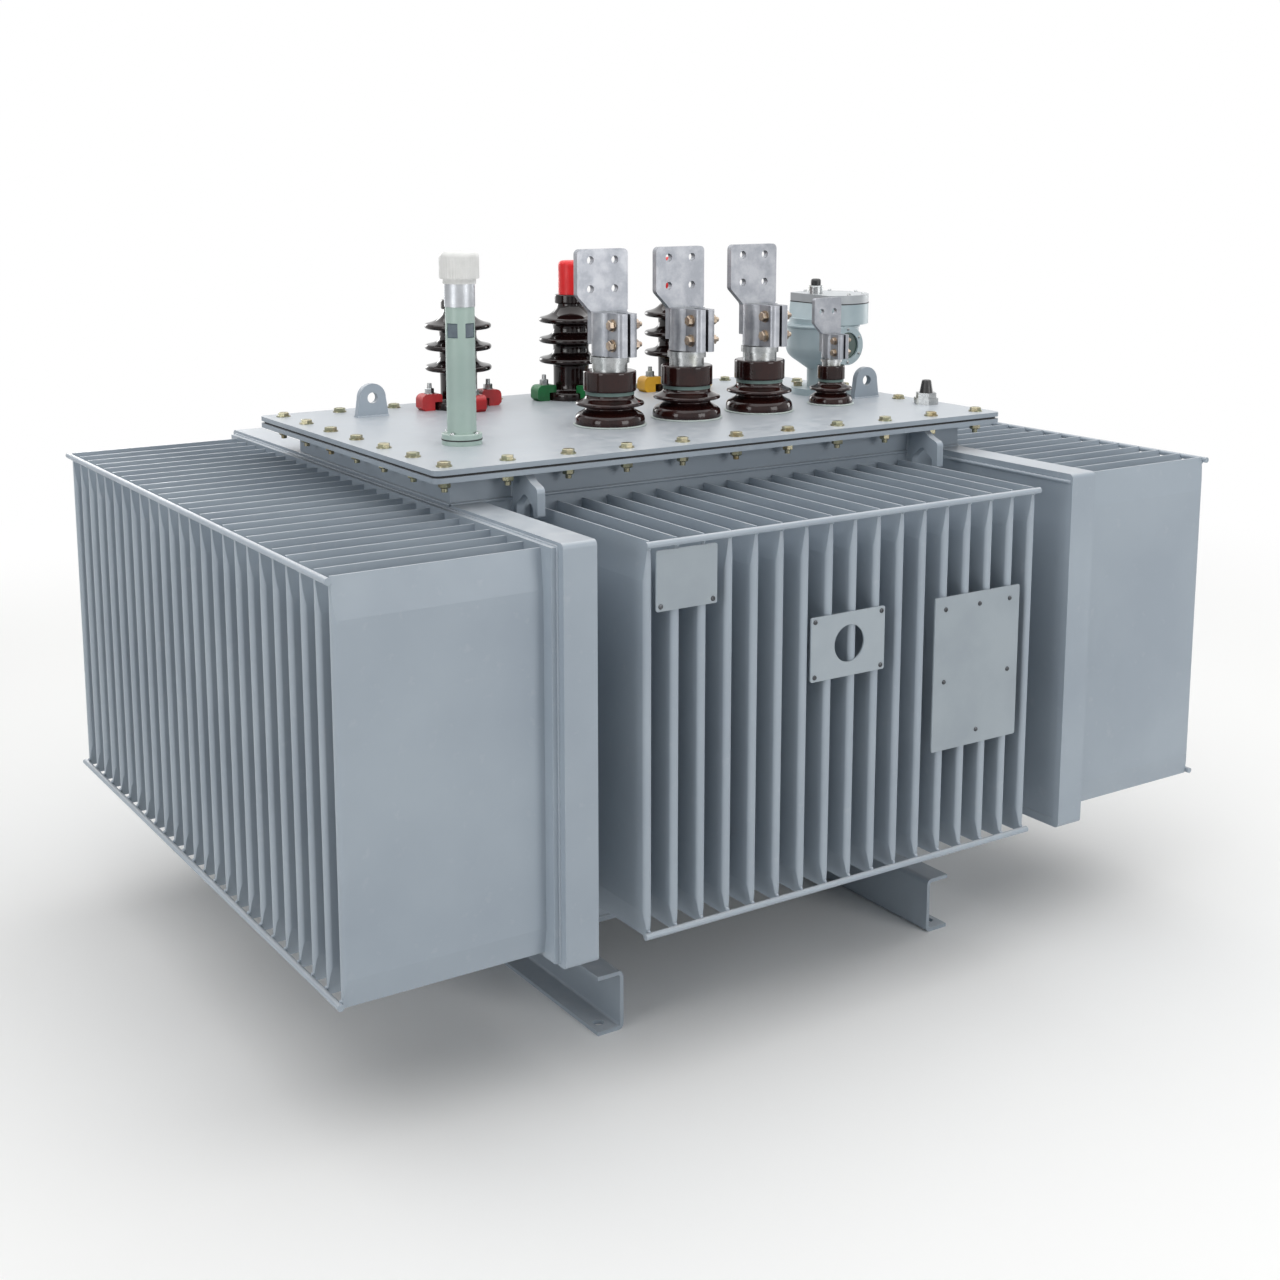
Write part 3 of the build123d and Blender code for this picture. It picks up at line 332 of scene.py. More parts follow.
@dataclass(frozen=True)
class GlazedPorcelain(Finish):
    """Fired stoneware glaze: wet gloss over a brown that pools darker in some places."""

    pooled: str
    speck: str
    pool_mm: float = 38.0
    # Iron specks are about 0.5 mm wide: they are drawn coarser, so that they show.
    speck_mm: float = 2.4
    wave_depth: float = 0.12
    rough_low: float = 0.07
    rough_high: float = 0.12

    def shader(self, tree: Tree, coords: Socket) -> Node:
        """Shader of the finish, fed by its patterns.

        Args:
            tree: Node tree of the material.
            coords: Object coordinates.

        Returns:
            A Principled shader.
        """
        cloud = add_node(tree, "ShaderNodeTexNoise", {
            "Vector": coords, "Scale": per_size(self.pool_mm), "Detail": 4.0})
        pools = add_node(tree, "ShaderNodeMapRange", {"Value": cloud, "From Min": 0.36, "From Max": 0.64})
        tone = add_node(tree, "ShaderNodeMix", {
            "data_type": "RGBA", "Factor": pools, "A": linear(self.colour), "B": linear(self.pooled)})
        iron = add_node(tree, "ShaderNodeTexNoise", {"Vector": coords, "Scale": per_size(self.speck_mm)})
        specks = add_node(tree, "ShaderNodeMapRange", {
            "Value": iron, "From Min": 0.64, "From Max": 0.76, "To Max": 0.5})
        glaze = add_node(tree, "ShaderNodeMix", {
            "data_type": "RGBA", "Factor": specks, "A": tone, "B": linear(self.speck)})
        rough = add_node(tree, "ShaderNodeMapRange", {
            "Value": pools, "To Min": self.rough_low, "To Max": self.rough_high})
        wave = add_node(tree, "ShaderNodeTexNoise", {"Vector": coords, "Scale": per_size(self.pool_mm / 3)})
        bump = add_node(tree, "ShaderNodeBump", {
            "Height": wave, "Distance": self.wave_depth * MM, "Strength": 0.12})
        return add_node(tree, "ShaderNodeBsdfPrincipled", {
            "Base Color": glaze, "Roughness": rough, "Normal": bump, "IOR": 1.54, "Specular IOR Level": 0.3})


@dataclass(frozen=True)
class Moulding(Finish):
    """Moulded rubber or plastic: even colour with a fine skin, handling marks and a little dust."""

    marked: str
    rough_low: float
    rough_high: float
    # The skin of a mould is about 0.3 mm coarse: it is drawn coarser, so that it shows.
    skin_mm: float = 1.8
    skin_depth: float = 0.05
    mark_mm: float = 18.0

    def shader(self, tree: Tree, coords: Socket) -> Node:
        """Shader of the finish, fed by its patterns.

        Args:
            tree: Node tree of the material.
            coords: Object coordinates.

        Returns:
            A Principled shader.
        """
        touch = add_node(tree, "ShaderNodeTexNoise", {
            "Vector": coords, "Scale": per_size(self.mark_mm), "Detail": 5.0, "Roughness": 0.6})
        marks = add_node(tree, "ShaderNodeMapRange", {
            "Value": touch, "From Min": 0.42, "From Max": 0.72, "To Max": 0.6})
        tone = add_node(tree, "ShaderNodeMix", {
            "data_type": "RGBA", "Factor": marks, "A": linear(self.colour), "B": linear(self.marked)})
        rough = add_node(tree, "ShaderNodeMapRange", {
            "Value": touch, "From Min": 0.3, "From Max": 0.7, "To Min": self.rough_low, "To Max": self.rough_high})
        skin = add_node(tree, "ShaderNodeTexNoise", {"Vector": coords, "Scale": per_size(self.skin_mm)})
        bump = add_node(tree, "ShaderNodeBump", {
            "Height": skin, "Distance": self.skin_depth * MM, "Strength": 0.2})
        return add_node(tree, "ShaderNodeBsdfPrincipled", {
            "Base Color": tone, "Roughness": rough, "Normal": bump, "IOR": 1.5})


@dataclass(frozen=True)
class OiledGlass(Finish):
    """Thick sight glass with oil behind it: dark green body under a clean reflection."""

    film: str
    film_mm: float = 22.0
    rough_low: float = 0.03
    rough_high: float = 0.09

    def shader(self, tree: Tree, coords: Socket) -> Node:
        """Shader of the finish, fed by its patterns.

        Args:
            tree: Node tree of the material.
            coords: Object coordinates.

        Returns:
            A Principled shader.
        """
        cloud = add_node(tree, "ShaderNodeTexNoise", {
            "Vector": coords, "Scale": per_size(self.film_mm), "Detail": 3.0})
        film = add_node(tree, "ShaderNodeMapRange", {"Value": cloud, "From Min": 0.35, "From Max": 0.7})
        tone = add_node(tree, "ShaderNodeMix", {
            "data_type": "RGBA", "Factor": film, "A": linear(self.colour), "B": linear(self.film)})
        rough = add_node(tree, "ShaderNodeMapRange", {
            "Value": cloud, "From Min": 0.3, "From Max": 0.7, "To Min": self.rough_low, "To Max": self.rough_high})
        return add_node(tree, "ShaderNodeBsdfPrincipled", {
            "Base Color": tone, "Roughness": rough, "IOR": 1.5, "Coat Weight": 0.8, "Coat Roughness": 0.03})


# Sprayed enamels: an even satin body, broken by slow drifts of tone, and paler on level faces, where dust lies and
# painted light from above is added.
# The tank's level faces take the pale colour at a larger share: dust with painted light from above, which keeps
# the cover bright.
TANK_PAINT = GlossPaint("grey_enamel", Slot.TANK_PAINT, "#9DA8B2", "#949FAA", "#C6C8CA", top_light_and_dust_share=0.6)
PLATE_PAINT = GlossPaint("plate_enamel", Slot.BLANK_PLATE, "#9AA4AB", "#919BA3", "#ADB1B4", drift_mm=90.0)
BRACKET_PAINT = GlossPaint("bracket_enamel", Slot.BRACKET_PLATE, "#A0AAB1", "#97A1A9", "#B1B5B7", drift_mm=90.0)
FILLER_PAINT = GlossPaint("pale_green_enamel", Slot.PALE_GREEN_PAINT, "#A5B9B1", "#9CB0A9", "#BCC5C0",
                          drift_mm=60.0)
RELAY_PAINT = GlossPaint("blue_green_enamel", Slot.RELAY_PAINT, "#ABBBC0", "#A0B1B7", "#C0C8CA",
                         drift_mm=50.0, peel_mm=5.0)
LID_PAINT = GlossPaint("pale_grey_enamel", Slot.RELAY_PAINT, "#B3B8BB", "#A9AEB2", "#C4C7C9", drift_mm=60.0)
# Brushed phase colours: full and bright on small castings, with chalky scuffs.
RED_PAINT = GlossPaint("red_enamel", Slot.RED_PAINT, "#C02024", "#A3181D", "#B84E4A", drift_mm=30.0)
GREEN_PAINT = GlossPaint("green_enamel", Slot.GREEN_PAINT, "#12703A", "#0D5A2E", "#4C8560", drift_mm=30.0)
YELLOW_PAINT = GlossPaint("yellow_enamel", Slot.YELLOW_PAINT, "#E3AC16", "#CC940E", "#D9BE6C", drift_mm=30.0)
# Zinc platings: passivated yellow or warm with brown stains, dulled dark, or left bright.
YELLOW_ZINC = PlatedSteel("yellow_zinc_plate", Slot.ZINC_STEEL, "#A39C84", "#92937C", "#80683F")
WARM_ZINC = PlatedSteel("warm_zinc_plate", Slot.ZINC_STEEL, "#A89A88", "#93857A", "#7D624E")
DARK_ZINC = PlatedSteel("dark_zinc_plate", Slot.ZINC_STEEL, "#5E6063", "#4C4E51", "#3C3D3F")
BRIGHT_ZINC = PlatedSteel("bright_zinc_plate", Slot.ZINC_STEEL, "#A8AAAB", "#96999A", "#87887F")
# Bare aluminium: a grey blasted casting, and a paler turned sleeve with a finer grain.
CAST_ALUMINIUM = CastMetal("cast_aluminium", Slot.BARE_ALUMINIUM, "#8B8E94", "#A1A3A8")
TURNED_ALUMINIUM = CastMetal("turned_aluminium", Slot.BARE_ALUMINIUM, "#A4A7AB", "#B6B9BD", 1.2)
# Glazed porcelains: near black in the folds, brown where light falls on the sheds, with sharp highlights.
BROWN_GLAZE = GlazedPorcelain("brown_porcelain_glaze", Slot.BROWN_PORCELAIN, "#2E1512", "#1F0E0D", "#472219")
DARK_GLAZE = GlazedPorcelain("dark_porcelain_glaze", Slot.DARK_PORCELAIN, "#1D0F0E", "#140A0A", "#2E1A16")
# Rubbers: matt, and greyer where they were handled.
GASKET_RUBBER = Moulding("sheet_rubber", Slot.GASKET_RUBBER, "#232426", "#3B3C3D", 0.55, 0.8)
SEAL_RUBBER = Moulding("seal_rubber", Slot.SEAL_RUBBER, "#5E7470", "#728682", 0.45, 0.7)
PALE_RUBBER = Moulding("pale_seal_rubber", Slot.SEAL_RUBBER, "#B4BFBB", "#C2CAC7", 0.45, 0.7)
# Moulded plastics: smooth, with the soft highlight of an injected skin.
WHITE_PLASTIC = Moulding("white_polyamide", Slot.WHITE_PLASTIC, "#E0E0DE", "#D2D3D0", 0.36, 0.55)
BLACK_PLASTIC = Moulding("black_polyamide", Slot.BLACK_PLASTIC, "#1B1B1C", "#2D2D2E", 0.28, 0.5)
RED_PLASTIC = Moulding("red_polyethylene", Slot.RED_PLASTIC, "#E0171C", "#CE1419", 0.32, 0.5)
# Sight glasses: dark with oil behind them, or blue-grey over an empty tube.
SIGHT_GLASS = OiledGlass("oil_sight_glass", Slot.SIGHT_GLASS, "#22382F", "#35504A")
PANE_GLASS = OiledGlass("filler_pane_glass", Slot.SIGHT_GLASS, "#445463", "#5C6E77")

# Finish of each solid that doesn't wear the tank's paint.
NODE_FINISHES: dict[str, Finish] = {
    "cover_gasket": GASKET_RUBBER, "bushing_seals": SEAL_RUBBER, "small_plate": PLATE_PAINT,
    "large_plate": PLATE_PAINT, "gauge_plate": BRACKET_PAINT, "filler_base": FILLER_PAINT,
    "filler_tube": FILLER_PAINT, "filler_sleeve": TURNED_ALUMINIUM, "filler_cap": WHITE_PLASTIC,
    "bushing_collars": BROWN_GLAZE, "bushing_studs": BRIGHT_ZINC, "neutral_insulator": BROWN_GLAZE,
    "neutral_terminal": CAST_ALUMINIUM, "hv_collars": DARK_GLAZE, "hv_caps": RED_PLASTIC,
    "hv_a_clamps": RED_PAINT, "hv_b_clamps": GREEN_PAINT, "hv_c_clamps": YELLOW_PAINT,
    "relay_body": RELAY_PAINT, "relay_head": RELAY_PAINT, "relay_lid": LID_PAINT,
    "relay_glass": SIGHT_GLASS, "relay_cock": BRIGHT_ZINC, "relay_cock_tip": BLACK_PLASTIC,
    "pocket_base": BRIGHT_ZINC, "pocket_cap": BLACK_PLASTIC,
    **{f"lv_{phase}_insulator": BROWN_GLAZE for phase in PHASES},
    **{f"lv_{phase}_terminal": CAST_ALUMINIUM for phase in PHASES},
    **{f"hv_{phase}_insulator": DARK_GLAZE for phase in PHASES},
}


def box_of(node: str) -> tuple[Vector, Vector]:
    """Lowest and highest corner of a solid, in metres."""
    low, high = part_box(node)
    return Vector(low), Vector(high)


def middle_of(node: str) -> Vector:
    """Centre of a solid's box."""
    low, high = box_of(node)
    return (low + high) / 2


def stand_of(node: str) -> Stand:
    """Foot point, radius and height of an upright turned solid, in metres."""
    low, high = box_of(node)
    return Vector(((low.x + high.x) / 2, (low.y + high.y) / 2, low.z)), (high.x - low.x) / 2, high.z - low.z


def circle_places(centre: Vector, reach: float, turns: Iterable[float], aim: Aim = Aim.UP) -> list[Place]:
    """Places on a circle that lies square to their aim.

    Args:
        centre: Middle of the circle.
        reach: Its radius in metres.
        turns: Angle of each place from +X, in radians.
        aim: Direction of all places, up or to the front.

    Returns:
        The places in the order of their angles.
    """
    places = []
    for turn in turns:
        x, rise = centre.x + reach * math.cos(turn), reach * math.sin(turn)
        flat = (x, centre.y + rise, centre.z) if aim is Aim.UP else (x, centre.y, centre.z + rise)
        places.append((Vector(flat), aim))
    return places


def merged(name: str, shapes: list[Shape]) -> bpy.types.Mesh:
    """One mesh of several shapes.

    Args:
        name: Name of the mesh.
        shapes: Points and faces of each shape.

    Returns:
        The mesh.
    """
    points: list[Vector] = []
    faces: list[tuple[int, ...]] = []
    for corners, sides in shapes:
        faces += [tuple(index + len(points) for index in side) for side in sides]
        points += corners
    mesh = bpy.data.meshes.new(name)
    mesh.from_pydata(points, [], faces)
    return mesh


def add_piece(name: str, mesh: bpy.types.Mesh, finish: Finish, smooth_deg: float = 35.0) -> bpy.types.Object:
    """Puts a finished mesh in the scene as a piece of the transformer.

    Args:
        name: Name of the piece.
        mesh: Mesh with its place in its vertices.
        finish: Finish that it wears.
        smooth_deg: Edges sharper than this stay crisp.

    Returns:
        The piece, on the transformer's body.
    """
    mesh.name = name
    mesh.materials.clear()
    mesh.materials.append(finish.material())
    mesh.polygons.foreach_set("use_smooth", [True] * len(mesh.polygons))
    mesh.set_sharp_from_angle(angle=math.radians(smooth_deg))
    mesh.update()
    piece = bpy.data.objects.new(name, mesh)
    bpy.context.scene.collection.objects.link(piece)
    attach(piece, BODY)
    LOG.info("%s: %d faces in %s", name, len(mesh.polygons), finish.name)
    return piece


class Grower:
    """Runs a geometry-node tree over guide points or lines and keeps the plain mesh."""

    def __init__(self, name: str, inputs: dict[str, str], smooth_deg: float) -> None:
        """Starts a tree with named inputs.

        Args:
            name: Name of the tree.
            inputs: Socket type of each input.
            smooth_deg: Angle above which the edges of what grows stay crisp.
        """
        self.smooth_deg = smooth_deg
        self.tree = bpy.data.node_groups.new(name, "GeometryNodeTree")
        face = self.tree.interface
        face.new_socket("Guide", in_out="INPUT", socket_type="NodeSocketGeometry")
        for label, kind in {**inputs, "Material": "NodeSocketMaterial"}.items():
            face.new_socket(label, in_out="INPUT", socket_type=kind)
        face.new_socket("Result", in_out="OUTPUT", socket_type="NodeSocketGeometry")
        self.given = add_node(self.tree, "NodeGroupInput").outputs

    def frustum(self, sides: int, low: Node | Socket, high: Node | Socket, depth: Node | Socket,
                base: Node | Socket | None = None) -> Node:
        """Adds an upright frustum.

        Args:
            sides: Number of sides.
            low: Its radius below.
            high: Its radius above.
            depth: Its height.
            base: Height at which it starts, or None for the ground.

        Returns:
            The node of its mesh.
        """
        solid = add_node(self.tree, "GeometryNodeMeshCone", {
            "Vertices": sides, "Radius Bottom": low, "Radius Top": high, "Depth": depth})
        if base is None:
            return solid
        lift = add_node(self.tree, "ShaderNodeCombineXYZ", {"Z": base})
        return add_node(self.tree, "GeometryNodeTransform", {"Geometry": solid, "Translation": lift})

    def aims(self) -> Node:
        """Turn that brings a shape's own Z along the aim of its guide point.

        Returns:
            The node of the rotation.
        """
        aim = add_node(self.tree, "GeometryNodeInputNamedAttribute", {"data_type": "FLOAT_VECTOR", "Name": "aim"})
        return add_node(self.tree, "FunctionNodeAlignRotationToVector", {"axis": "Z", "Vector": aim})

    def spun(self) -> Node:
        """The aim's turn after a random turn of each shape about its own Z.

        Returns:
            The node of the rotation.
        """
        angle = add_node(self.tree, "FunctionNodeRandomValue", {
            "data_type": "FLOAT", "Min": 0.0, "Max": math.tau, "Seed": self.given["Seed"]})
        own = add_node(self.tree, "FunctionNodeAxisAngleToRotation", {"Axis": Aim.UP.value, "Angle": angle})
        return add_node(self.tree, "FunctionNodeRotateRotation", {
            "rotation_space": "LOCAL", "Rotation": self.aims(), "Rotate By": own})

    def close(self, result: Node) -> None:
        """Ends the tree with real meshes in their material.

        Args:
            result: Node of the geometry.
        """
        real = add_node(self.tree, "GeometryNodeRealizeInstances", {"Geometry": result})
        dressed = add_node(self.tree, "GeometryNodeSetMaterial", {
            "Geometry": real, "Material": self.given["Material"]})
        add_node(self.tree, "NodeGroupOutput", {0: dressed})

    def grow(self, name: str, guide: bpy.types.Mesh, finish: Finish, values: dict[str, float]) -> None:
        """Makes one piece along a guide.

        Args:
            name: Name of the piece.
            guide: Mesh of guide points or lines.
            finish: Finish that it wears.
            values: Value of each of the tree's inputs.
        """
        carrier = bpy.data.objects.new(name + "_guide", guide)
        bpy.context.scene.collection.objects.link(carrier)
        modifier = carrier.modifiers.new("grow", "NODES")
        modifier.node_group = self.tree
        keys = {item.name: item.identifier for item in self.tree.interface.items_tree if item.in_out == "INPUT"}
        for label, value in values.items():
            modifier[keys[label]] = value
        modifier[keys["Material"]] = finish.material()
        depsgraph = bpy.context.evaluated_depsgraph_get()
        mesh = bpy.data.meshes.new_from_object(carrier.evaluated_get(depsgraph))
        carrier.modifiers.clear()
        bpy.data.objects.remove(carrier)
        add_piece(name, mesh, finish, self.smooth_deg)


FLOAT = "NodeSocketFloat"
WHOLE = "NodeSocketInt"
WASHER_SIDES = 20
HEX_SIDES = 6
SHANK_SIDES = 12
SCREW_SIDES = 14
BEAD_SIDES = 8
RIB_SIDES = 8


@cache
def hex_grower() -> Grower:
    """Washer, chamfered hexagon and the end of a threaded shank.

    Returns:
        The grower, built once.
    """
    g = Grower("hex_fastener", {
        "Washer Radius": FLOAT, "Washer Height": FLOAT, "Hex Radius": FLOAT, "Hex Height": FLOAT,
        "Shank Radius": FLOAT, "Shank End": FLOAT, "Seed": WHOLE}, smooth_deg=30.0)
    rim, washer = g.given["Washer Radius"], g.given["Washer Height"]
    hexagon, height = g.given["Hex Radius"], g.given["Hex Height"]
    thread = g.given["Shank Radius"]
    chamfer, crown, tip = (
        add_node(g.tree, "ShaderNodeMath", {"operation": "MULTIPLY", 0: size, 1: share})
        for size, share in ((height, 0.16), (hexagon, 0.86), (thread, 0.9)))
    top = add_node(g.tree, "ShaderNodeMath", {"operation": "ADD", 0: washer, 1: height})
    nut = add_node(g.tree, "ShaderNodeMath", {"operation": "ADD", 0: height, 1: chamfer})
    shank = add_node(g.tree, "ShaderNodeMath", {"operation": "ADD", 0: nut, 1: g.given["Shank End"]})
    shape = add_node(g.tree, "GeometryNodeJoinGeometry", {"Geometry": [
        g.frustum(WASHER_SIDES, rim, rim, washer), g.frustum(HEX_SIDES, hexagon, hexagon, height, washer),
        g.frustum(HEX_SIDES, hexagon, crown, chamfer, top), g.frustum(SHANK_SIDES, thread, tip, shank, washer)]})
    g.close(add_node(g.tree, "GeometryNodeInstanceOnPoints", {
        "Points": g.given["Guide"], "Instance": shape, "Rotation": g.spun()}))
    return g


@cache
def screw_grower() -> Grower:
    """Domed screw head with a driver slot.

    Returns:
        The grower, built once.
    """
    g = Grower("slotted_screw", {
        "Radius": FLOAT, "Height": FLOAT, "Slot": FLOAT, "Seed": WHOLE}, smooth_deg=30.0)
    radius, height = g.given["Radius"], g.given["Height"]
    rim, shoulder, crown, length = (
        add_node(g.tree, "ShaderNodeMath", {"operation": "MULTIPLY", 0: size, 1: share})
        for size, share in ((height, 0.45), (radius, 0.92), (radius, 0.6), (radius, 3.0)))
    dome = add_node(g.tree, "ShaderNodeMath", {"operation": "SUBTRACT", 0: height, 1: rim})
    head = add_node(g.tree, "GeometryNodeJoinGeometry", {"Geometry": [
        g.frustum(SCREW_SIDES, radius, shoulder, rim), g.frustum(SCREW_SIDES, shoulder, crown, dome, rim)]})
    size = add_node(g.tree, "ShaderNodeCombineXYZ", {"X": length, "Y": g.given["Slot"], "Z": height})
    lift = add_node(g.tree, "ShaderNodeCombineXYZ", {"Z": height})
    block = add_node(g.tree, "GeometryNodeMeshCube", {"Size": size})
    cutter = add_node(g.tree, "GeometryNodeTransform", {"Geometry": block, "Translation": lift})
    shape = add_node(g.tree, "GeometryNodeMeshBoolean", {
        "operation": "DIFFERENCE", "Mesh 1": head, "Mesh 2": cutter})
    g.close(add_node(g.tree, "GeometryNodeInstanceOnPoints", {
        "Points": g.given["Guide"], "Instance": shape, "Rotation": g.spun()}))
    return g


@cache
def bead_grower() -> Grower:
    """Rippled weld bead along guide lines.

    Returns:
        The grower, built once.
    """
    g = Grower("weld_bead", {
        "Radius": FLOAT, "Step": FLOAT, "Ripple": FLOAT, "Pitch": FLOAT}, smooth_deg=60.0)
    path = add_node(g.tree, "GeometryNodeMeshToCurve", {"Mesh": g.given["Guide"]})
    curve = add_node(g.tree, "GeometryNodeResampleCurve", {
        "mode": "LENGTH", "Curve": path, "Length": g.given["Step"]})
    along = add_node(g.tree, "GeometryNodeSplineParameter").outputs["Length"]
    steps = add_node(g.tree, "ShaderNodeMath", {"operation": "DIVIDE", 0: along, 1: g.given["Pitch"]})
    phase = add_node(g.tree, "ShaderNodeMath", {"operation": "MULTIPLY", 0: steps, 1: math.tau})
    sine = add_node(g.tree, "ShaderNodeMath", {"operation": "SINE", 0: phase})
    wave = add_node(g.tree, "ShaderNodeMath", {"operation": "MULTIPLY", 0: sine, 1: g.given["Ripple"]})
    swell = add_node(g.tree, "ShaderNodeMath", {"operation": "ADD", 0: wave, 1: 1.0})
    circle = add_node(g.tree, "GeometryNodeCurvePrimitiveCircle", {
        "Resolution": BEAD_SIDES, "Radius": g.given["Radius"]})
    g.close(add_node(g.tree, "GeometryNodeCurveToMesh", {
        "Fill Caps": True, "Curve": curve, "Profile Curve": circle, "Scale": swell}))
    return g


@cache
def dab_grower() -> Grower:
    """Lumps of weld metal, each of its own size.

    Returns:
        The grower, built once.
    """
    g = Grower("weld_dab", {"Smallest": FLOAT, "Largest": FLOAT, "Seed": WHOLE}, smooth_deg=80.0)
    lump = add_node(g.tree, "GeometryNodeMeshIcoSphere", {"Radius": 1.0, "Subdivisions": 2})
    low, high = (add_node(g.tree, "ShaderNodeCombineXYZ", {axis: g.given[label] for axis in "XYZ"})
                 for label in ("Smallest", "Largest"))
    size = add_node(g.tree, "FunctionNodeRandomValue", {
        "data_type": "FLOAT_VECTOR", "Min": low, "Max": high, "Seed": g.given["Seed"]})
    g.close(add_node(g.tree, "GeometryNodeInstanceOnPoints", {
        "Points": g.given["Guide"], "Instance": lump, "Rotation": g.spun(), "Scale": size}))
    return g


@cache
def rib_grower() -> Grower:
    """Upright half-round ribs on guide points.

    Returns:
        The grower, built once.
    """
    g = Grower("grip_rib", {"Radius": FLOAT, "Height": FLOAT}, smooth_deg=50.0)
    tip = add_node(g.tree, "ShaderNodeMath", {"operation": "MULTIPLY", 0: g.given["Radius"], 1: 0.8})
    shape = g.frustum(RIB_SIDES, g.given["Radius"], tip, g.given["Height"])
    g.close(add_node(g.tree, "GeometryNodeInstanceOnPoints", {
        "Points": g.given["Guide"], "Instance": shape, "Rotation": g.aims()}))
    return g


def points_mesh(places: list[Place]) -> bpy.types.Mesh:
    """Guide points with their aims.

    Args:
        places: Position and direction of each point.

    Returns:
        A mesh of loose vertices.
    """
    mesh = bpy.data.meshes.new("guide_points")
    mesh.from_pydata([point for point, _ in places], [], [])
    aims = mesh.attributes.new("aim", "FLOAT_VECTOR", "POINT")
    aims.data.foreach_set("vector", [value for _, aim in places for value in aim.value])
    return mesh


def lines_mesh(lines: list[Line]) -> bpy.types.Mesh:
    """Guide lines, each a list of points.

    Args:
        lines: Points of each line in order.

    Returns:
        A mesh of loose edges.
    """
    points = [point for line in lines for point in line]
    edges, start = [], 0
    for line in lines:
        edges += [(start + i, start + i + 1) for i in range(len(line) - 1)]
        start += len(line)
    mesh = bpy.data.meshes.new("guide_lines")
    mesh.from_pydata(points, edges, [])
    return mesh


@dataclass(frozen=True)
class HexSize:
    """Sizes of a hexagon bolt or nut in millimetres."""

    washer_radius: float
    washer_height: float
    hex_radius: float
    hex_height: float
    shank_radius: float
    shank_end: float = 0.3

    def grow(self, name: str, places: list[Place], finish: Finish, seed: int) -> None:
        """Sets one of these on each place.

        Args:
            name: Name of the piece.
            places: Position and direction of each.
            finish: Finish that they wear.
            seed: Seed of their random turns.
        """
        hex_grower().grow(name, points_mesh(places), finish, {
            "Washer Radius": self.washer_radius * MM, "Washer Height": self.washer_height * MM,
            "Hex Radius": self.hex_radius * MM, "Hex Height": self.hex_height * MM,
            "Shank Radius": self.shank_radius * MM, "Shank End": self.shank_end * MM, "Seed": seed})


@dataclass(frozen=True)
class ScrewSize:
    """Sizes of a slotted screw head in millimetres."""

    radius: float
    height: float
    slot: float

    def grow(self, name: str, places: list[Place], finish: Finish, seed: int) -> None:
        """Sets one of these on each place.

        Args:
            name: Name of the piece.
            places: Position and direction of each.
            finish: Finish that they wear.
            seed: Seed of their random turns.
        """
        screw_grower().grow(name, points_mesh(places), finish, {
            "Radius": self.radius * MM, "Height": self.height * MM, "Slot": self.slot * MM, "Seed": seed})


@dataclass(frozen=True)
class WeldSize:
    """Sizes of a weld bead in millimetres, and the share by which its ripples swell."""

    radius: float
    step: float = 4.0
    ripple: float = 0.12
    pitch: float = 13.0

    def grow(self, name: str, lines: list[Line], finish: Finish) -> None:
        """Lays a bead along each line.

        Args:
            name: Name of the piece.
            lines: Points of each line.
            finish: Finish that the beads wear.
        """
        bead_grower().grow(name, lines_mesh(lines), finish, {
            "Radius": self.radius * MM, "Step": self.step * MM, "Ripple": self.ripple, "Pitch": self.pitch * MM})


@dataclass(frozen=True)
class Turned:
    """Shape turned round an upright axis, with the soft corners that a glaze has, in millimetres."""

    outline: Pairs
    segments: int = 88
    rounds: int = 2
    cut: float = 0.25

    def softened(self) -> list[tuple[float, float]]:
        """Outline after its corners have been cut, time and again, at the same share of each run.

        Returns:
            Radius and height of each point.
        """
        points = list(self.outline)
        for _ in range(self.rounds):
            softer = [points[0]]
            for (r0, z0), (r1, z1) in zip(points, points[1:]):
                softer += [((1 - share) * r0 + share * r1, (1 - share) * z0 + share * z1)
                           for share in (self.cut, 1 - self.cut)]
            points = softer + [points[-1]]
        return points

    def shape(self, stand: Stand) -> Shape:
        """Turns the outline to a given radius and height.

        Args:
            stand: Foot point, radius and height of the shape.

        Returns:
            Points and faces.
        """
        foot, radius, height = stand
        points = self.softened()
        wide = radius / max(reach for reach, _ in points)
        tall = height / points[-1][1]
        count = self.segments
        turns = [math.tau * step / count for step in range(count)]
        spots = [foot + Vector((wide * reach * math.cos(turn), wide * reach * math.sin(turn), tall * rise))
                 for reach, rise in points for turn in turns]
        faces: list[tuple[int, ...]] = [
            (row + step, row + (step + 1) % count, row + count + (step + 1) % count, row + count + step)
            for row in range(0, count * (len(points) - 1), count) for step in range(count)]
        faces += [tuple(range(count))[::-1], tuple(range(len(spots) - count, len(spots)))]
        return spots, faces

    def build(self, name: str, stands: list[Stand], finish: Finish, *nodes: str) -> None:
        """Makes one piece of the shape on every stand.

        Args:
            name: Name of the piece.
            stands: Foot point, radius and height of each copy.
            finish: Finish that it wears.
            *nodes: Solids that the piece stands for.
        """
        shapes = [self.shape(stand) for stand in stands]
        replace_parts(add_piece(name, merged(name, shapes), finish), *nodes)


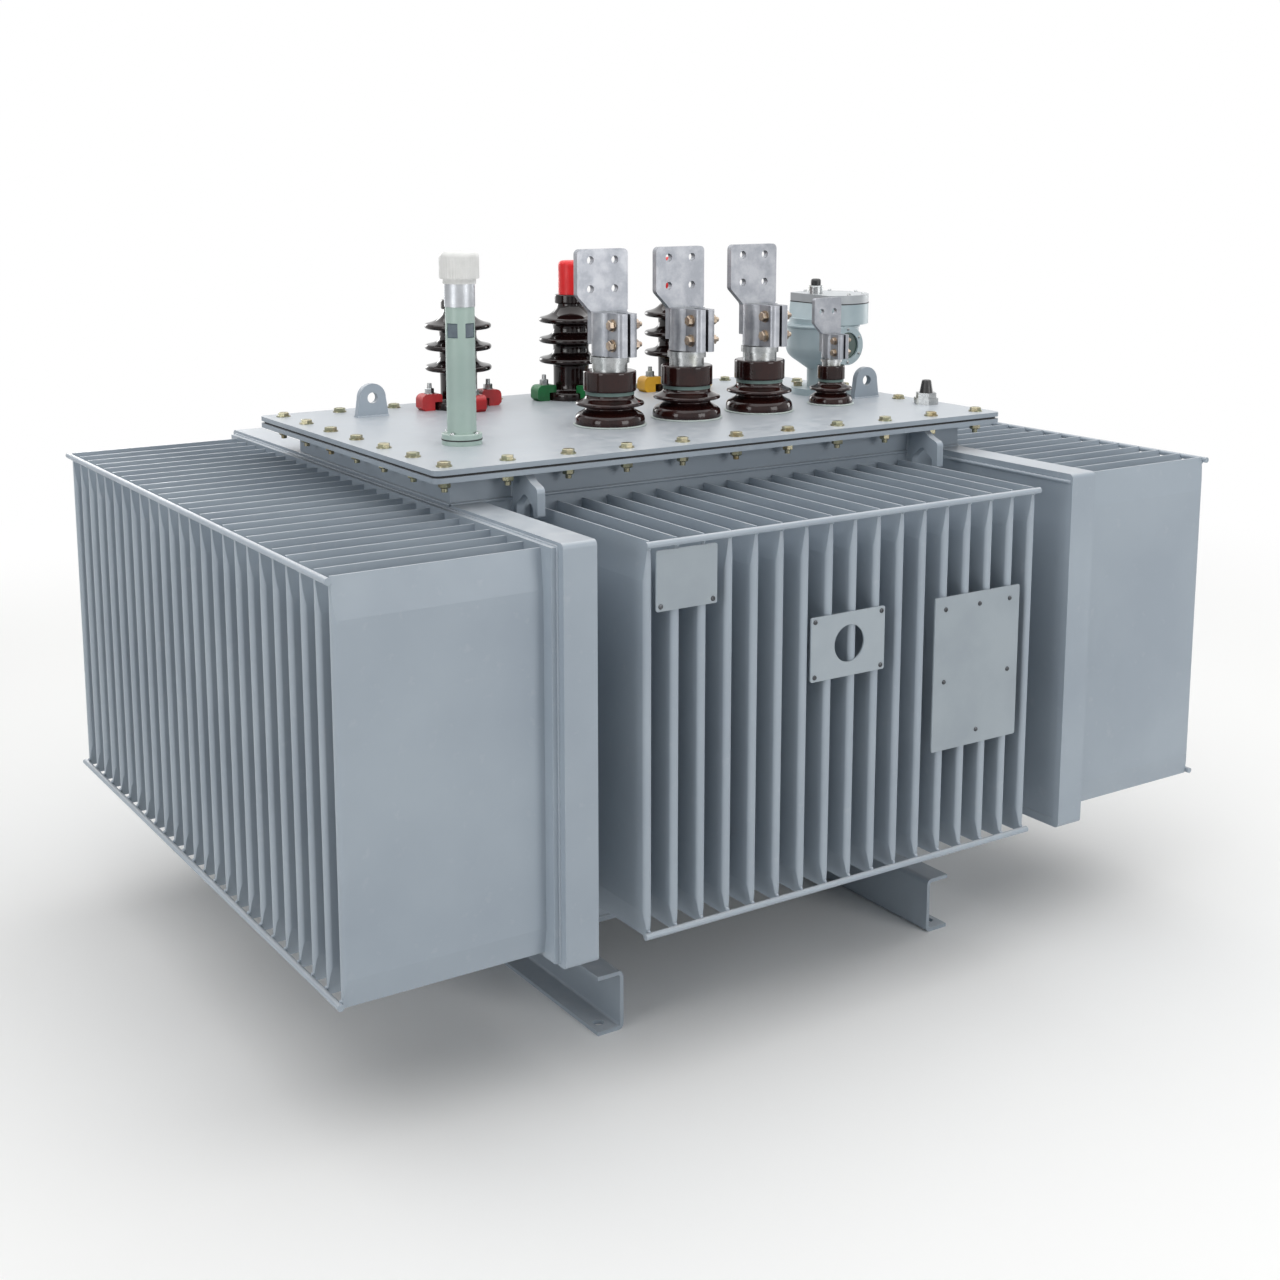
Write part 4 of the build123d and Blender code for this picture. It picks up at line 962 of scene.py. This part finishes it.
@dataclass
class CoverJoint:
    """Bolts that clamp the cover, gasket and tank flange."""

    front_count: int = 11
    end_count: int = 7
    inset_x: float = 32.6
    inset_y: float = 33.8
    pocket_clear: float = 40.0
    bolt: HexSize = HexSize(12.5, 2.0, 10.4, 5.0, 5.0)
    nut: HexSize = HexSize(11.0, 2.0, 9.8, 9.4, 5.6, 6.5)

    def plan(self) -> list[tuple[float, float]]:
        """Bolt places round the cover's edge, without the one that the thermometer pocket takes.

        Returns:
            X and Y of each bolt, in metres.
        """
        low, high = box_of("cover_plate")
        x0, x1 = low.x + self.inset_x * MM, high.x - self.inset_x * MM
        y0, y1 = low.y + self.inset_y * MM, high.y - self.inset_y * MM
        long = [x0 + (x1 - x0) * k / (self.front_count - 1) for k in range(self.front_count)]
        short = [y0 + (y1 - y0) * k / (self.end_count - 1) for k in range(1, self.end_count - 1)]
        ring = [(x, y) for x in long for y in (y0, y1)] + [(x, y) for x in (x0, x1) for y in short]
        pocket = middle_of("pocket_base")
        return [(x, y) for x, y in ring if math.hypot(x - pocket.x, y - pocket.y) > self.pocket_clear * MM]

    def build(self) -> None:
        """Makes the bolt heads above and the nuts below."""
        plan = self.plan()
        top = box_of("cover_plate")[1].z
        under = box_of("tank_flange")[0].z
        heads = [(Vector((x, y, top)), Aim.UP) for x, y in plan]
        nuts = [(Vector((x, y, under)), Aim.DOWN) for x, y in plan]
        self.bolt.grow("cover_bolts", heads, YELLOW_ZINC, seed=11)
        self.nut.grow("cover_nuts", nuts, YELLOW_ZINC, seed=12)


@dataclass
class FinBanks:
    """Weld dabs where the rods cross the fin tips."""

    front_fins: int = 17
    front_pitch: float = 48.0
    end_fins: int = 25
    end_pitch: float = 49.0
    rod_radius: float = 5.0
    smallest: float = 2.6
    largest: float = 4.4
    seed: int = 21

    def dabs(self, node: str, count: int, pitch: float, out: Aim) -> list[Place]:
        """Dab places of one bank.

        Args:
            node: Solid of the bank.
            count: Number of fins.
            pitch: Fin spacing.
            out: Direction in which the fins reach out.

        Returns:
            Places beside the rods.
        """
        low, high = box_of(node)
        across, away = (1, 0) if out in (Aim.LEFT, Aim.RIGHT) else (0, 1)
        sign = out.value[away]
        rod = 2 * self.rod_radius * MM
        places = []
        for index in range(count):
            for z in (low.z + rod, high.z - rod):
                point = Vector((0.0, 0.0, z))
                point[across] = (index - (count - 1) / 2) * pitch * MM
                point[away] = (high if sign > 0 else low)[away] - sign * rod
                places.append((point, Aim.UP))
        return places

    def build(self) -> None:
        """Makes the dabs of all four banks."""
        front, end = (self.front_fins, self.front_pitch), (self.end_fins, self.end_pitch)
        places = [*self.dabs("front_fins", *front, Aim.FRONT), *self.dabs("back_fins", *front, Aim.BACK),
                  *self.dabs("left_fins", *end, Aim.LEFT), *self.dabs("right_fins", *end, Aim.RIGHT)]
        dab_grower().grow("rod_weld_dabs", points_mesh(places), TANK_PAINT, {
            "Smallest": self.smallest * MM, "Largest": self.largest * MM, "Seed": self.seed})


@dataclass
class TankWelds:
    """Weld beads along the tank's joints."""

    seam: WeldSize = WeldSize(3.2)
    small_seam: WeldSize = WeldSize(2.4, step=3.0, ripple=0.14, pitch=9.0)
    hook_half: float = 7.0
    hook_head: float = 36.0
    lip_drop: float = 14.0
    lip_end: float = 4.0

    def inner_faces(self, part: str) -> list[tuple[float, Vector, Vector]]:
        """Faces towards the tank of a part that both ends of it have.

        Args:
            part: Name of the solid after its side.

        Returns:
            X of the face with the solid's lowest and highest corner, left and right.
        """
        left_low, left_high = box_of(f"left_{part}")
        right_low, right_high = box_of(f"right_{part}")
        return [(left_high.x, left_low, left_high), (right_low.x, right_low, right_high)]

    def rim_lines(self, node: str) -> list[Line]:
        """Closed lines round the foot and the head of an upright shell.

        Args:
            node: Solid of the shell.

        Returns:
            The lower and the upper line.
        """
        low, high = box_of(node)
        plan = [(low.x, low.y), (high.x, low.y), (high.x, high.y), (low.x, high.y), (low.x, low.y)]
        return [[Vector((x, y, z)) for x, y in plan] for z in (low.z, high.z)]

    def corner_lines(self) -> list[Line]:
        """Upright lines where the side walls meet the header boxes.

        Returns:
            The four lines.
        """
        low, high = box_of("front_wall")
        return [[Vector((x, y, z)) for z in (low.z, high.z)]
                for x in (low.x, high.x) for y in (low.y, box_of("back_wall")[1].y)]

    def panel_lines(self) -> list[Line]:
        """Lines round each end panel where it lies on its header box.

        Returns:
            The left and the right line.
        """
        lines = []
        for x, low, high in self.inner_faces("end_panel"):
            ring = [(low.y, low.z), (high.y, low.z), (high.y, high.z), (low.y, high.z), (low.y, low.z)]
            lines.append([Vector((x, y, z)) for y, z in ring])
        return lines

    def lip_lines(self) -> list[Line]:
        """Lines under the folded rim of each header box, on the face towards the tank.

        Returns:
            Two lines on each box.
        """
        lines = []
        for x, low, high in self.inner_faces("header_box"):
            z = high.z - self.lip_drop * MM
            for wall, y in ((box_of("front_wall")[0].y, low.y + self.lip_end * MM),
                            (box_of("back_wall")[1].y, high.y - self.lip_end * MM)):
                lines.append([Vector((x, wall, z)), Vector((x, y, z))])
        return lines

    def hook_lines(self) -> list[Line]:
        """Lines on both sides of each hook's root and under the flange.

        Returns:
            Two lines on each hook.
        """
        lines = []
        front, back = box_of("front_lifting_hooks"), box_of("back_lifting_hooks")
        for (low, high), root, out in ((front, front[1].y, -1.0), (back, back[0].y, 1.0)):
            tip = root + out * self.hook_head * MM
            for middle in (low.x + self.hook_half * MM, high.x - self.hook_half * MM):
                for x in (middle - self.hook_half * MM, middle + self.hook_half * MM):
                    lines.append([Vector((x, root, low.z)), Vector((x, root, high.z)), Vector((x, tip, high.z))])
        return lines

    def lug_lines(self) -> list[Line]:
        """Lines along both faces of each lug's foot.

        Returns:
            Two lines on each lug.
        """
        lines = []
        for node in ("lifting_lug_left", "lifting_lug_right"):
            low, high = box_of(node)
            lines += [[Vector((x, y, low.z)) for x in (low.x, high.x)] for y in (low.y, high.y)]
        return lines

    def build(self) -> None:
        """Lays all beads."""
        tank = [*self.rim_lines("tank_neck"), *self.corner_lines(), *self.rim_lines("tank_skirt"),
                *self.lip_lines()]
        self.seam.grow("tank_weld_beads", tank, TANK_PAINT)
        fittings = [*self.panel_lines(), *self.hook_lines(), *self.lug_lines()]
        self.small_seam.grow("fitting_weld_beads", fittings, TANK_PAINT)


@dataclass(frozen=True)
class ClampedBushing:
    """Sizes of a bushing with a split clamp terminal, in millimetres."""

    bolt: HexSize
    nut: HexSize
    ear_half: float
    bolt_y: float
    bolt_rises: tuple[float, ...]
    seal: float
    collar_radius: float
    collar_height: float
    glaze: Turned

    def ear_places(self, name: str, aim: Aim) -> list[Place]:
        """Fastener places on one face of a terminal's ears.

        Args:
            name: Name of the bushing.
            aim: Side of the ears, left or right.

        Returns:
            A place at each rise.
        """
        axis = middle_of(f"{name}_insulator")
        base = box_of(f"{name}_terminal")[0].z
        x = axis.x + self.ear_half * MM * aim.value[0]
        return [(Vector((x, axis.y + self.bolt_y * MM, base + rise * MM)), aim) for rise in self.bolt_rises]


@dataclass
class LowVoltageBushings:
    """Porcelains, seals and clamp bolts of the low-voltage and neutral terminals."""

    phase: ClampedBushing = ClampedBushing(
        bolt=HexSize(11.0, 2.0, 9.4, 6.4, 4.6), nut=HexSize(11.0, 2.0, 9.4, 8.0, 5.0, 6.0),
        ear_half=20.0, bolt_y=-42.0, bolt_rises=(20.0, 55.0), seal=6.0, collar_radius=46.5, collar_height=36.0,
        glaze=Turned((
            (57.0, 0.0), (62.5, 0.8), (62.5, 12.0), (59.5, 19.5), (50.0, 24.5), (43.4, 28.5), (43.4, 32.0),
            (49.0, 34.6), (61.0, 35.0), (61.0, 40.8), (54.0, 43.2), (46.0, 46.8), (43.0, 50.5), (43.0, 54.0))))
    neutral: ClampedBushing = ClampedBushing(
        bolt=HexSize(7.5, 1.5, 6.4, 4.6, 3.4), nut=HexSize(7.5, 1.5, 6.4, 5.4, 3.6, 4.0),
        ear_half=13.0, bolt_y=-24.5, bolt_rises=(12.0, 34.0), seal=4.5, collar_radius=26.0, collar_height=26.5,
        glaze=Turned((
            (38.0, 0.0), (42.0, 0.6), (42.0, 9.0), (40.0, 15.0), (33.5, 19.0), (29.6, 22.0), (29.6, 24.4),
            (33.0, 26.6), (41.0, 27.0), (41.0, 31.8), (35.5, 34.0), (28.0, 37.0), (24.0, 40.0), (24.0, 43.0))))
    collar: Turned = Turned(((42.0, 0.0), (46.5, 0.3), (46.5, 7.0), (46.5, 29.0), (46.5, 35.7), (41.0, 36.0)))
    foot_seal: Turned = Turned(((60.0, 0.0), (64.0, 0.0), (64.0, 2.0), (60.0, 2.4)), rounds=1)
    foot_seal_lap: float = 2.6
    foot_seal_height: float = 3.0

    def build_clamps(self) -> None:
        """Makes bolts on the left of the terminals' ears and nuts on their right."""
        for aim, name, large, small in ((Aim.LEFT, "bolts", self.phase.bolt, self.neutral.bolt),
                                        (Aim.RIGHT, "nuts", self.phase.nut, self.neutral.nut)):
            places = [place for phase in PHASES for place in self.phase.ear_places(f"lv_{phase}", aim)]
            large.grow(f"lv_clamp_{name}", places, WARM_ZINC, seed=31)
            small.grow(f"neutral_clamp_{name}", self.neutral.ear_places("neutral", aim), WARM_ZINC, seed=32)

    def build_porcelain(self) -> None:
        """Makes the insulators, the collars on their seals and the seals under their feet."""
        collars, seals = [], []
        for name, size in (*((f"lv_{phase}", self.phase) for phase in PHASES), ("neutral", self.neutral)):
            node = f"{name}_insulator"
            foot, radius, height = stand_of(node)
            size.glaze.build(f"{node}_glaze", [(foot, radius, height)], BROWN_GLAZE, node)
            lift = Vector((0.0, 0.0, height + size.seal * MM))
            collars.append((foot + lift, size.collar_radius * MM, size.collar_height * MM))
            seals.append((foot, radius + self.foot_seal_lap * MM, self.foot_seal_height * MM))
        self.collar.build("bushing_collar_glaze", collars, BROWN_GLAZE, "bushing_collars")
        self.foot_seal.build("bushing_foot_seals", seals, PALE_RUBBER)

    def build(self) -> None:
        """Makes the clamps' fasteners and the porcelains."""
        self.build_clamps()
        self.build_porcelain()


@dataclass
class HighVoltageBushings:
    """Porcelains with three sheds, their collars, and the nuts and studs on the bridge clamps."""

    foot: Pairs = (
        (53.0, 0.0), (54.0, 0.6), (54.0, 15.5), (45.0, 15.5), (37.5, 17.0), (34.5, 23.0), (34.5, 40.0))
    shed: Pairs = (
        (34.5, -10.5), (35.5, -4.5), (50.0, -2.0), (62.0, -0.6), (62.0, 8.2), (54.0, 10.0), (42.5, 12.8),
        (35.5, 18.0), (34.5, 25.0))
    neck: Pairs = ((53.0, 160.0), (40.5, 164.5), (31.5, 172.0), (27.0, 179.0), (26.0, 185.0))
    shed_rises: tuple[float, ...] = (72.0, 111.0, 150.0)
    top_points: int = 5
    collar: Turned = Turned(((27.0, 0.0), (31.0, 0.6), (31.0, 6.0), (31.0, 12.0), (31.0, 17.4), (26.0, 18.0)))
    collar_radius: float = 31.0
    collar_height: float = 18.0
    nut: HexSize = HexSize(9.5, 1.8, 8.6, 7.4, 4.6, 9.0)
    reach: float = 61.5
    angles: tuple[float, ...] = (0.0, 180.0, 270.0)

    def glaze(self) -> Turned:
        """Porcelain whose top shed runs up into the neck."""
        sheds = [(radius, base + rise) for base in self.shed_rises for radius, rise in self.shed]
        return Turned((*self.foot, *sheds[:self.top_points - len(self.shed)], *self.neck))

    def build(self) -> None:
        """Makes the porcelains, their collars and one nut on each bridge clamp."""
        places, collars = [], []
        glaze = self.glaze()
        for phase in PHASES:
            node = f"hv_{phase}_insulator"
            foot, radius, height = stand_of(node)
            glaze.build(f"{node}_glaze", [(foot, radius, height)], DARK_GLAZE, node)
            collars.append((foot + Vector((0.0, 0.0, height)), self.collar_radius * MM, self.collar_height * MM))
            axis = middle_of(node)
            axis.z = box_of(f"hv_{phase}_clamps")[1].z
            places += circle_places(axis, self.reach * MM, map(math.radians, self.angles))
        self.collar.build("hv_collar_glaze", collars, DARK_GLAZE, "hv_collars")
        self.nut.grow("hv_clamp_nuts", places, BRIGHT_ZINC, seed=41)


@dataclass
class OilFiller:
    """Sight panes, joint gasket, grip ribs and flange screws of the oil filler."""

    joint: Turned = Turned(((31.0, 0.0), (33.5, 0.0), (33.5, 2.2), (31.0, 2.2)), rounds=0)
    joint_rise: float = 7.7
    joint_radius: float = 33.5
    joint_height: float = 2.2
    pane_width: float = 19.4
    pane_height: float = 23.4
    pane_drop: float = 26.3
    pane_thickness: float = 1.6
    pane_bevel: float = 1.2
    bevel_depth: float = 0.5
    pane_smooth: float = 20.0
    recess: float = 20.0
    angles: tuple[float, ...] = (-62.0, 18.0, 118.0, 198.0)
    rib_count: int = 40
    rib_radius: float = 1.5
    rib_inset: float = 0.9
    rib_foot: float = 9.5
    rib_height: float = 33.0
    screw: ScrewSize = ScrewSize(4.2, 3.0, 1.1)
    screw_reach: float = 28.5
    screw_angles: tuple[float, ...] = (30.0, 120.0, 210.0, 300.0)

    def pane(self, angle: float, axis: Vector, top: float) -> Shape:
        """Corners and faces of one bevelled pane.

        Args:
            angle: Direction of its window about the tube in degrees, from -Y.
            axis: Middle of the tube.
            top: Height of the pane's upper edge.

        Returns:
            Points and faces.
        """
        half, bevel = self.pane_width / 2 * MM, self.pane_bevel * MM
        low = top - self.pane_height * MM
        face = self.recess + self.pane_thickness
        turn = math.radians(angle)
        points = []
        for out, edge in ((self.recess, 0.0), (face - self.bevel_depth, 0.0), (face, bevel)):
            for x, z in ((-half + edge, low + edge), (half - edge, low + edge),
                         (half - edge, top - edge), (-half + edge, top - edge)):
                flat = Vector((x, -out * MM, 0.0))
                points.append(Vector((axis.x + flat.x * math.cos(turn) - flat.y * math.sin(turn),
                                      axis.y + flat.x * math.sin(turn) + flat.y * math.cos(turn), z)))
        faces = [(3, 2, 1, 0), (8, 9, 10, 11)]
        for ring in (0, 4):
            faces += [(ring + i, ring + (i + 1) % 4, ring + 4 + (i + 1) % 4, ring + 4 + i) for i in range(4)]
        return points, faces

    def build_ribs(self, axis: Vector) -> None:
        """Makes the ribs round the cap.

        Args:
            axis: Middle of the tube.
        """
        low, high = box_of("filler_cap")
        centre = Vector((axis.x, axis.y, low.z + self.rib_foot * MM))
        turns = [math.tau * index / self.rib_count for index in range(self.rib_count)]
        ribs = circle_places(centre, (high.x - low.x) / 2 - self.rib_inset * MM, turns)
        rib_grower().grow("filler_cap_ribs", points_mesh(ribs), WHITE_PLASTIC, {
            "Radius": self.rib_radius * MM, "Height": self.rib_height * MM})

    def build(self) -> None:
        """Makes the panes, the gasket, the ribs and the screws."""
        axis = middle_of("filler_tube")
        top = box_of("filler_tube")[1].z - self.pane_drop * MM
        panes = [self.pane(angle, axis, top) for angle in self.angles]
        add_piece("filler_panes", merged("filler_panes", panes), PANE_GLASS, self.pane_smooth)
        foot = stand_of("filler_base")[0] + Vector((0.0, 0.0, self.joint_rise * MM))
        stand = (foot, self.joint_radius * MM, self.joint_height * MM)
        self.joint.build("filler_gasket", [stand], GASKET_RUBBER)
        self.build_ribs(axis)
        centre = Vector((axis.x, axis.y, box_of("filler_base")[1].z))
        screws = circle_places(centre, self.screw_reach * MM, map(math.radians, self.screw_angles))
        self.screw.grow("filler_screws", screws, BRIGHT_ZINC, seed=51)


@dataclass
class GasRelay:
    """Bowl rim, lid joint, foot bolts, sight-glass screws and lid screws of the gas relay."""

    rim: Turned = Turned(((70.0, 0.0), (74.4, 1.2), (74.4, 5.8), (70.0, 7.0)), rounds=1)
    rim_lap: float = 2.4
    rim_drop: float = 7.5
    rim_height: float = 7.0
    joint: WeldSize = WeldSize(1.1, ripple=0.0)
    joint_steps: int = 40
    foot_bolt: HexSize = HexSize(9.0, 1.8, 8.4, 6.0, 4.2)
    foot_height: float = 13.0
    foot_reach: float = 47.0
    foot_angles: tuple[float, ...] = (45.0, 135.0, 225.0, 315.0)
    boss_screw: ScrewSize = ScrewSize(3.0, 2.2, 0.9)
    boss_reach: float = 32.0
    boss_angles: tuple[float, ...] = (30.0, 90.0, 150.0, 210.0, 270.0, 330.0)
    lid_screw: ScrewSize = ScrewSize(4.4, 3.4, 1.2)
    lid_reach: float = 68.0
    lid_angles: tuple[float, ...] = (-95.0, -50.0, 0.0, 50.0, 95.0)

    def rim_stand(self) -> Stand:
        """Place of the rim round the head of the bowl, whose axis is a radius in from the body's back.

        Returns:
            Foot point, radius and height of the rim.
        """
        low, high = box_of("relay_body")
        radius = (high.x - low.x) / 2
        foot = Vector((low.x + radius, high.y - radius, box_of("relay_head")[0].z - self.rim_drop * MM))
        return foot, radius + self.rim_lap * MM, self.rim_height * MM

    def joint_line(self) -> Line:
        """Closed line round the foot of the lid: an arc and the straight edge that cuts it.

        Returns:
            Points of the line.
        """
        low, high = box_of("relay_lid")
        radius = (high.y - low.y) / 2
        centre = Vector((high.x - radius, (low.y + high.y) / 2, low.z))
        half = math.acos((low.x - centre.x) / radius)
        turns = [half * (2 * step / self.joint_steps - 1) for step in range(self.joint_steps + 1)]
        arc = [centre + radius * Vector((math.cos(turn), math.sin(turn), 0.0)) for turn in turns]
        return arc + arc[:1]

    def build(self) -> None:
        """Makes the rim, the joint and all of the relay's fasteners."""
        self.rim.build("relay_bowl_rim", [self.rim_stand()], RELAY_PAINT)
        self.joint.grow("relay_lid_joint", [self.joint_line()], GASKET_RUBBER)
        body, glass, head = box_of("relay_body")[0], middle_of("relay_glass"), middle_of("relay_head")
        centre = Vector((glass.x, head.y, body.z + self.foot_height * MM))
        bolts = circle_places(centre, self.foot_reach * MM, map(math.radians, self.foot_angles))
        self.foot_bolt.grow("relay_foot_bolts", bolts, YELLOW_ZINC, seed=61)
        centre = Vector((glass.x, body.y, glass.z))
        screws = circle_places(centre, self.boss_reach * MM, map(math.radians, self.boss_angles), Aim.FRONT)
        self.boss_screw.grow("relay_glass_screws", screws, BRIGHT_ZINC, seed=62)
        centre = Vector((head.x, head.y, box_of("relay_lid")[1].z))
        screws = circle_places(centre, self.lid_reach * MM, map(math.radians, self.lid_angles))
        self.lid_screw.grow("relay_lid_screws", screws, BRIGHT_ZINC, seed=63)


@dataclass
class TipPlates:
    """Screws that hold the bare plates on the fin tips, at shares of each plate's width and height."""

    screw: ScrewSize = ScrewSize(4.0, 2.6, 1.0)
    small_spots: Pairs = ((0.07, 0.08), (0.93, 0.08))
    gauge_spots: Pairs = ((0.05, 0.07), (0.95, 0.07), (0.05, 0.93), (0.95, 0.93))
    large_spots: Pairs = ((0.12, 0.92), (0.52, 0.92), (0.88, 0.92), (0.12, 0.45), (0.88, 0.45), (0.52, 0.09))

    def build(self) -> None:
        """Makes the screws of the three plates."""
        places = []
        for node, spots in (("small_plate", self.small_spots), ("gauge_plate", self.gauge_spots),
                            ("large_plate", self.large_spots)):
            low, high = box_of(node)
            size = high - low
            places += [(Vector((low.x + size.x * u, low.y, low.z + size.z * v)), Aim.FRONT) for u, v in spots]
        self.screw.grow("plate_screws", places, DARK_ZINC, seed=71)


@dataclass(frozen=True)
class Lamp:
    """Square area lamp: place and size in metres, power in watts."""

    name: str
    place: tuple[float, float, float]
    size: float
    power: float

    def hang(self, target: Vector) -> None:
        """Puts the lamp in the scene.

        Args:
            target: Point that it is aimed at.
        """
        data = bpy.data.lights.new(self.name, "AREA")
        data.size = self.size
        data.energy = self.power
        lamp = bpy.data.objects.new(self.name, data)
        lamp.location = self.place
        lamp.rotation_euler = (target - Vector(self.place)).to_track_quat("-Z", "Y").to_euler()
        bpy.context.scene.collection.objects.link(lamp)


@dataclass
class Studio:
    """Pale floor, soft lamps and the camera, in metres."""

    camera_at: tuple[float, float, float] = (-1.7403, -2.6713, 1.3658)
    yaw_deg: float = 33.31
    pitch_deg: float = 9.909
    focal_px: float = 1756.8
    centre_px: float = 470.0
    image_px: float = 1280.0
    sensor_mm: float = 36.0
    floor_half: float = 14.0
    floor_colour: str = "#F4F4F3"
    fade_from: float = 2.2
    fade_to: float = 4.2
    lamp_target: tuple[float, float, float] = (0.0, 0.0, 0.55)
    lamps: tuple[Lamp, ...] = (
        Lamp("top", (0.0, -0.2, 4.2), 8.0, 320.0),
        Lamp("front", (1.7, -5.2, 1.7), 2.2, 70.0),
        Lamp("left", (-5.2, -1.4, 1.7), 2.2, 70.0),
        Lamp("right", (5.4, 0.4, 1.7), 2.2, 56.0),
        Lamp("rear", (0.0, 5.4, 1.8), 2.2, 62.0),
    )
    world_level: float = 0.06

    def camera(self) -> None:
        """Sets the camera at the photograph's view."""
        data = bpy.data.cameras.new("camera")
        data.sensor_width = self.sensor_mm
        data.lens = self.focal_px * self.sensor_mm / self.image_px
        data.shift_y = (self.centre_px - self.image_px / 2) / self.image_px
        camera = bpy.data.objects.new("camera", data)
        camera.location = self.camera_at
        camera.rotation_euler = (math.radians(90.0 - self.pitch_deg), 0.0, math.radians(-self.yaw_deg))
        bpy.context.scene.collection.objects.link(camera)
        bpy.context.scene.camera = camera

    def seen(self, tree: Tree) -> Node:
        """One for rays that show the background: seen directly, in a gloss or through glass.

        Args:
            tree: Node tree that asks.

        Returns:
            The node of the value.
        """
        path = add_node(tree, "ShaderNodeLightPath").outputs
        plain = add_node(tree, "ShaderNodeMath", {
            "operation": "MAXIMUM", 0: path["Is Camera Ray"], 1: path["Is Glossy Ray"]})
        return add_node(tree, "ShaderNodeMath", {
            "operation": "MAXIMUM", 0: plain, 1: path["Is Transmission Ray"]})

    def world(self) -> None:
        """Sets an even grey light with a white background."""
        world = bpy.data.worlds.new("studio")
        bpy.context.scene.world = world
        world.use_nodes = True
        tree = world.node_tree
        tree.nodes.clear()
        level = add_node(tree, "ShaderNodeMapRange", {"Value": self.seen(tree), "To Min": self.world_level})
        background = add_node(tree, "ShaderNodeBackground", {"Color": linear("#FFFFFF"), "Strength": level})
        add_node(tree, "ShaderNodeOutputWorld", {"Surface": background})

    def floor_material(self) -> bpy.types.Material:
        """Matt pale floor that turns to plain white away from the transformer.

        Returns:
            The material.
        """
        material = bpy.data.materials.new("pale_floor")
        material.use_nodes = True
        tree = material.node_tree
        tree.nodes.clear()
        coords = add_node(tree, "ShaderNodeTexCoord").outputs["Object"]
        distance = add_node(tree, "ShaderNodeVectorMath", {"operation": "LENGTH", 0: coords})
        fade = add_node(tree, "ShaderNodeMapRange", {
            "interpolation_type": "SMOOTHSTEP", "Value": distance, "From Min": self.fade_from,
            "From Max": self.fade_to})
        share = add_node(tree, "ShaderNodeMath", {"operation": "MULTIPLY", 0: fade, 1: self.seen(tree)})
        matt = add_node(tree, "ShaderNodeBsdfDiffuse", {"Color": linear(self.floor_colour)})
        white = add_node(tree, "ShaderNodeEmission", {"Strength": 1.0})
        both = add_node(tree, "ShaderNodeMixShader", {0: share, 1: matt, 2: white})
        add_node(tree, "ShaderNodeOutputMaterial", {"Surface": both})
        return material

    def floor(self) -> None:
        """Lays the floor."""
        half = self.floor_half
        corners = [(-half, -half, 0), (half, -half, 0), (half, half, 0), (-half, half, 0)]
        mesh = bpy.data.meshes.new("floor")
        mesh.from_pydata(corners, [], [(0, 1, 2, 3)])
        mesh.materials.append(self.floor_material())
        floor = bpy.data.objects.new("floor", mesh)
        bpy.context.scene.collection.objects.link(floor)

    def build(self) -> None:
        """Sets up the whole studio."""
        self.camera()
        for lamp in self.lamps:
            lamp.hang(Vector(self.lamp_target))
        self.world()
        self.floor()
        bpy.context.scene.view_settings.view_transform = "Standard"


def dress_solids() -> None:
    """Gives every solid its finish."""
    for name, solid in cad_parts.items():
        finish = NODE_FINISHES.get(name, TANK_PAINT)
        solid.data.materials.clear()
        solid.data.materials.append(finish.material())
        LOG.info("%s: %s", name, finish.name)


def main() -> None:
    """Builds the studio and every sub-assembly in order."""
    logging.basicConfig(level=logging.INFO, format="%(name)s %(message)s")
    Studio().build()
    dress_solids()
    for assembly in (CoverJoint(), FinBanks(), TankWelds(), LowVoltageBushings(), HighVoltageBushings(),
                     OilFiller(), GasRelay(), TipPlates()):
        assembly.build()


if __name__ == "__main__":
    main()
